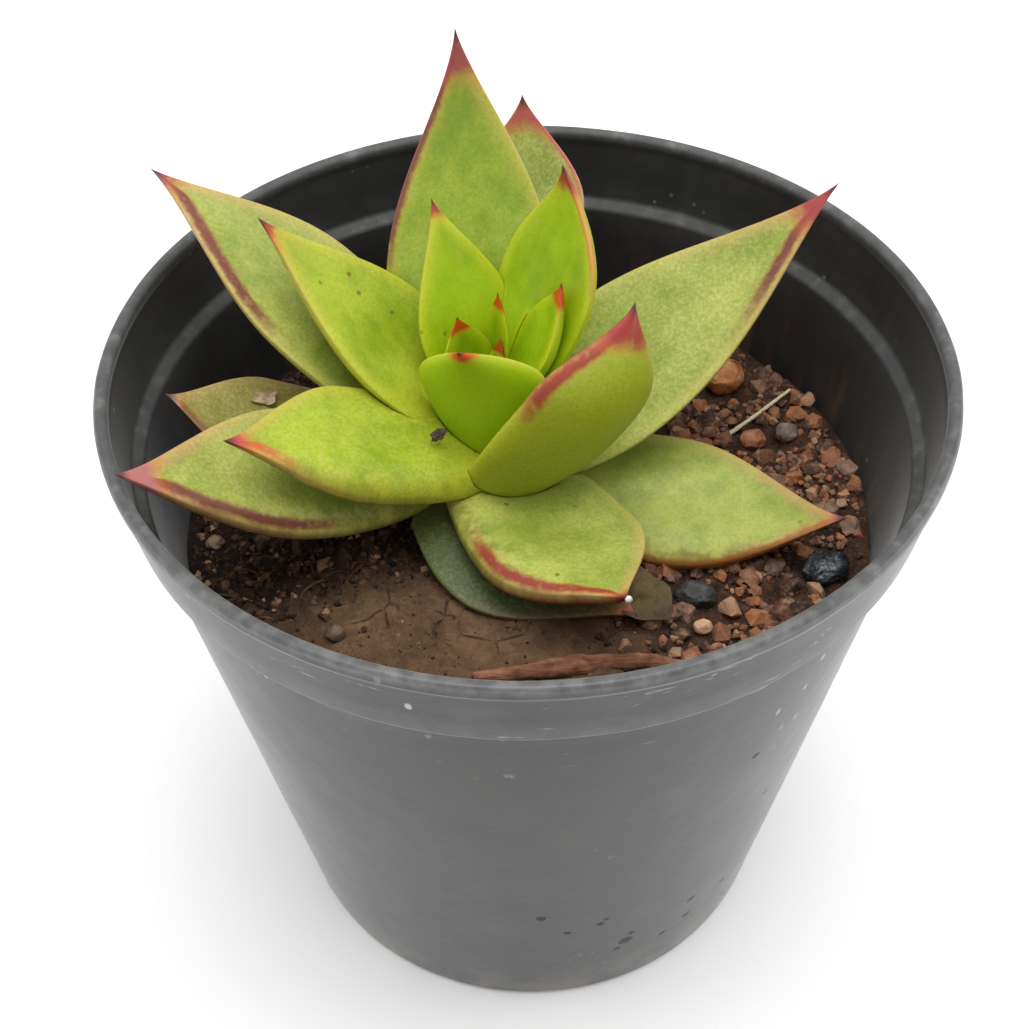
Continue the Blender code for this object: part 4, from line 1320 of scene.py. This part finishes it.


# ---- the near-white bead at the front leaf's tip, a painted highlight for its glint, and a shed flake of skin ----
bm = bmesh.new()
bmesh.ops.create_icosphere(bm, subdivisions=4, radius=BEAD_RADIUS)
for vert in bm.verts:
    vert.co *= 1 + 0.10 * swell(vert.co, 1400, 2, 6.0)
    vert.co.z *= 1.15
    vert.co += bead_place
add_piece("sap_bead", mesh_from(bm, "sap_bead"), stone_look("dried_sap", *STONE_LOOKS["dried_sap"]), "straw")


def flake_mesh(name, centre, size, seed):
    """A thin curled flake, closed all round."""
    cols, rows = 18, 12
    top, bottom = [], []
    for j in range(rows):
        v = j / (rows - 1) - 0.5
        for i in range(cols):
            u = i / (cols - 1) - 0.5
            ragged = 1 + 0.25 * swell((u * 3, v * 3, seed), 1.2)
            curl = 0.9 * u * u + 0.5 * v * v + 0.25 * swell((u, v, seed), 3.0)
            p = Vector((u * ragged, 0.7 * v * ragged, 0.45 * curl)) * size
            top.append(Vector(centre) + p + Vector((0, 0, FLAKE_HALF)))
            bottom.append(Vector(centre) + p - Vector((0, 0, FLAKE_HALF)))
    base = len(top)
    faces = []
    for j in range(rows - 1):
        for i in range(cols - 1):
            a = j * cols + i
            faces.append((a, a + 1, a + cols + 1, a + cols))
            faces.append((base + a, base + a + cols, base + a + cols + 1, base + a + 1))
    rim = list(range(cols)) + [j * cols + cols - 1 for j in range(1, rows)]
    rim += [(rows - 1) * cols + i for i in range(cols - 2, -1, -1)]
    rim += [j * cols for j in range(rows - 2, 0, -1)]
    faces += [(a, b, base + b, base + a) for a, b in zip(rim, rim[1:] + rim[:1])]
    return plain_mesh(name, top + bottom, faces)


FLAKE_PLACE = (-0.0393, 0.0079, 0.0914)  # on the small leaf at the left
FLAKE_SIZE = 0.0036
FLAKE_HALF = 0.00006  # half its thickness
flake = flake_mesh("shed_flake", FLAKE_PLACE, FLAKE_SIZE, 3.0)
flake_skin = root_look("shed_skin", [(150, 116, 88), (196, 166, 134), (224, 204, 178)], 1.0)
add_piece("shed_flake", flake, flake_skin, "straw")


# ======== Floor, light and camera ========
FLOOR_HALF = 3.0  # half the side of the floor
SKY_STRENGTH = 0.86
AIM = Vector((0, 0, 0.08))  # where the softboxes point

# place, size (m) and power (W)
SOFTBOXES = {
    "key": ((0.06, -0.02, 1.30), 1.05, 10.0),
    "right_fill": ((0.85, 0.10, 0.26), 0.6, 2.1),
    "left_fill": ((-0.85, 0.05, 0.30), 0.6, 1.3),
}


def floor_look():
    """Pale, very slightly uneven paper."""
    look = Look("pale_floor", roughness=0.9, specular=0.1)
    veil = look.noise(6, 2, 0.5)
    return look.finish(look.mix(veil, (0.95, 0.95, 0.95, 1), (0.97, 0.97, 0.97, 1)))


corners = [(FLOOR_HALF * x, FLOOR_HALF * y, 0) for x, y in ((-1, -1), (1, -1), (1, 1), (-1, 1))]
floor = set_out("floor", plain_mesh("floor", corners, [(0, 1, 2, 3)], flip_check=False))
floor.data.materials.append(floor_look())

scene = bpy.context.scene
scene.world = bpy.data.worlds.new("studio")
scene.world.use_nodes = True
sky = scene.world.node_tree.nodes["Background"]
sky.inputs["Color"].default_value = (1.0, 1.0, 1.0, 1)
sky.inputs["Strength"].default_value = SKY_STRENGTH

for name, (place, size, power) in SOFTBOXES.items():
    light = bpy.data.lights.new(name, "AREA")
    light.shape, light.size, light.energy = "DISK", size, power
    lamp = set_out(name, light)
    lamp.location = place
    lamp.rotation_euler = (AIM - Vector(place)).to_track_quat("-Z", "Y").to_euler()

VIEW_TILT = math.radians(45.2)  # the camera looks down by this much
VIEW_ROLL = math.radians(-1.0)
VIEW_DISTANCE = 0.240
VIEW_TARGET = Vector((-0.00206, 0.0, 0.0737))
SENSOR = 36.0
FOCAL_WIDTHS = 1551.0 / 1029.0  # the focal length, in widths of the frame
NEAREST = 0.001
lens = bpy.data.cameras.new("camera")
lens.sensor_width, lens.lens, lens.clip_start = SENSOR, SENSOR * FOCAL_WIDTHS, NEAREST
camera = set_out("camera", lens)
forward = Vector((0, math.cos(VIEW_TILT), -math.sin(VIEW_TILT)))
level = Vector((1, 0, 0))
upward = level.cross(forward)
right = math.cos(VIEW_ROLL) * level + math.sin(VIEW_ROLL) * upward
top = -math.sin(VIEW_ROLL) * level + math.cos(VIEW_ROLL) * upward
camera.matrix_world = Matrix((right, top, -forward)).transposed().to_4x4()
camera.location = VIEW_TARGET - VIEW_DISTANCE * forward
scene.camera = camera
scene.view_settings.view_transform = "Standard"
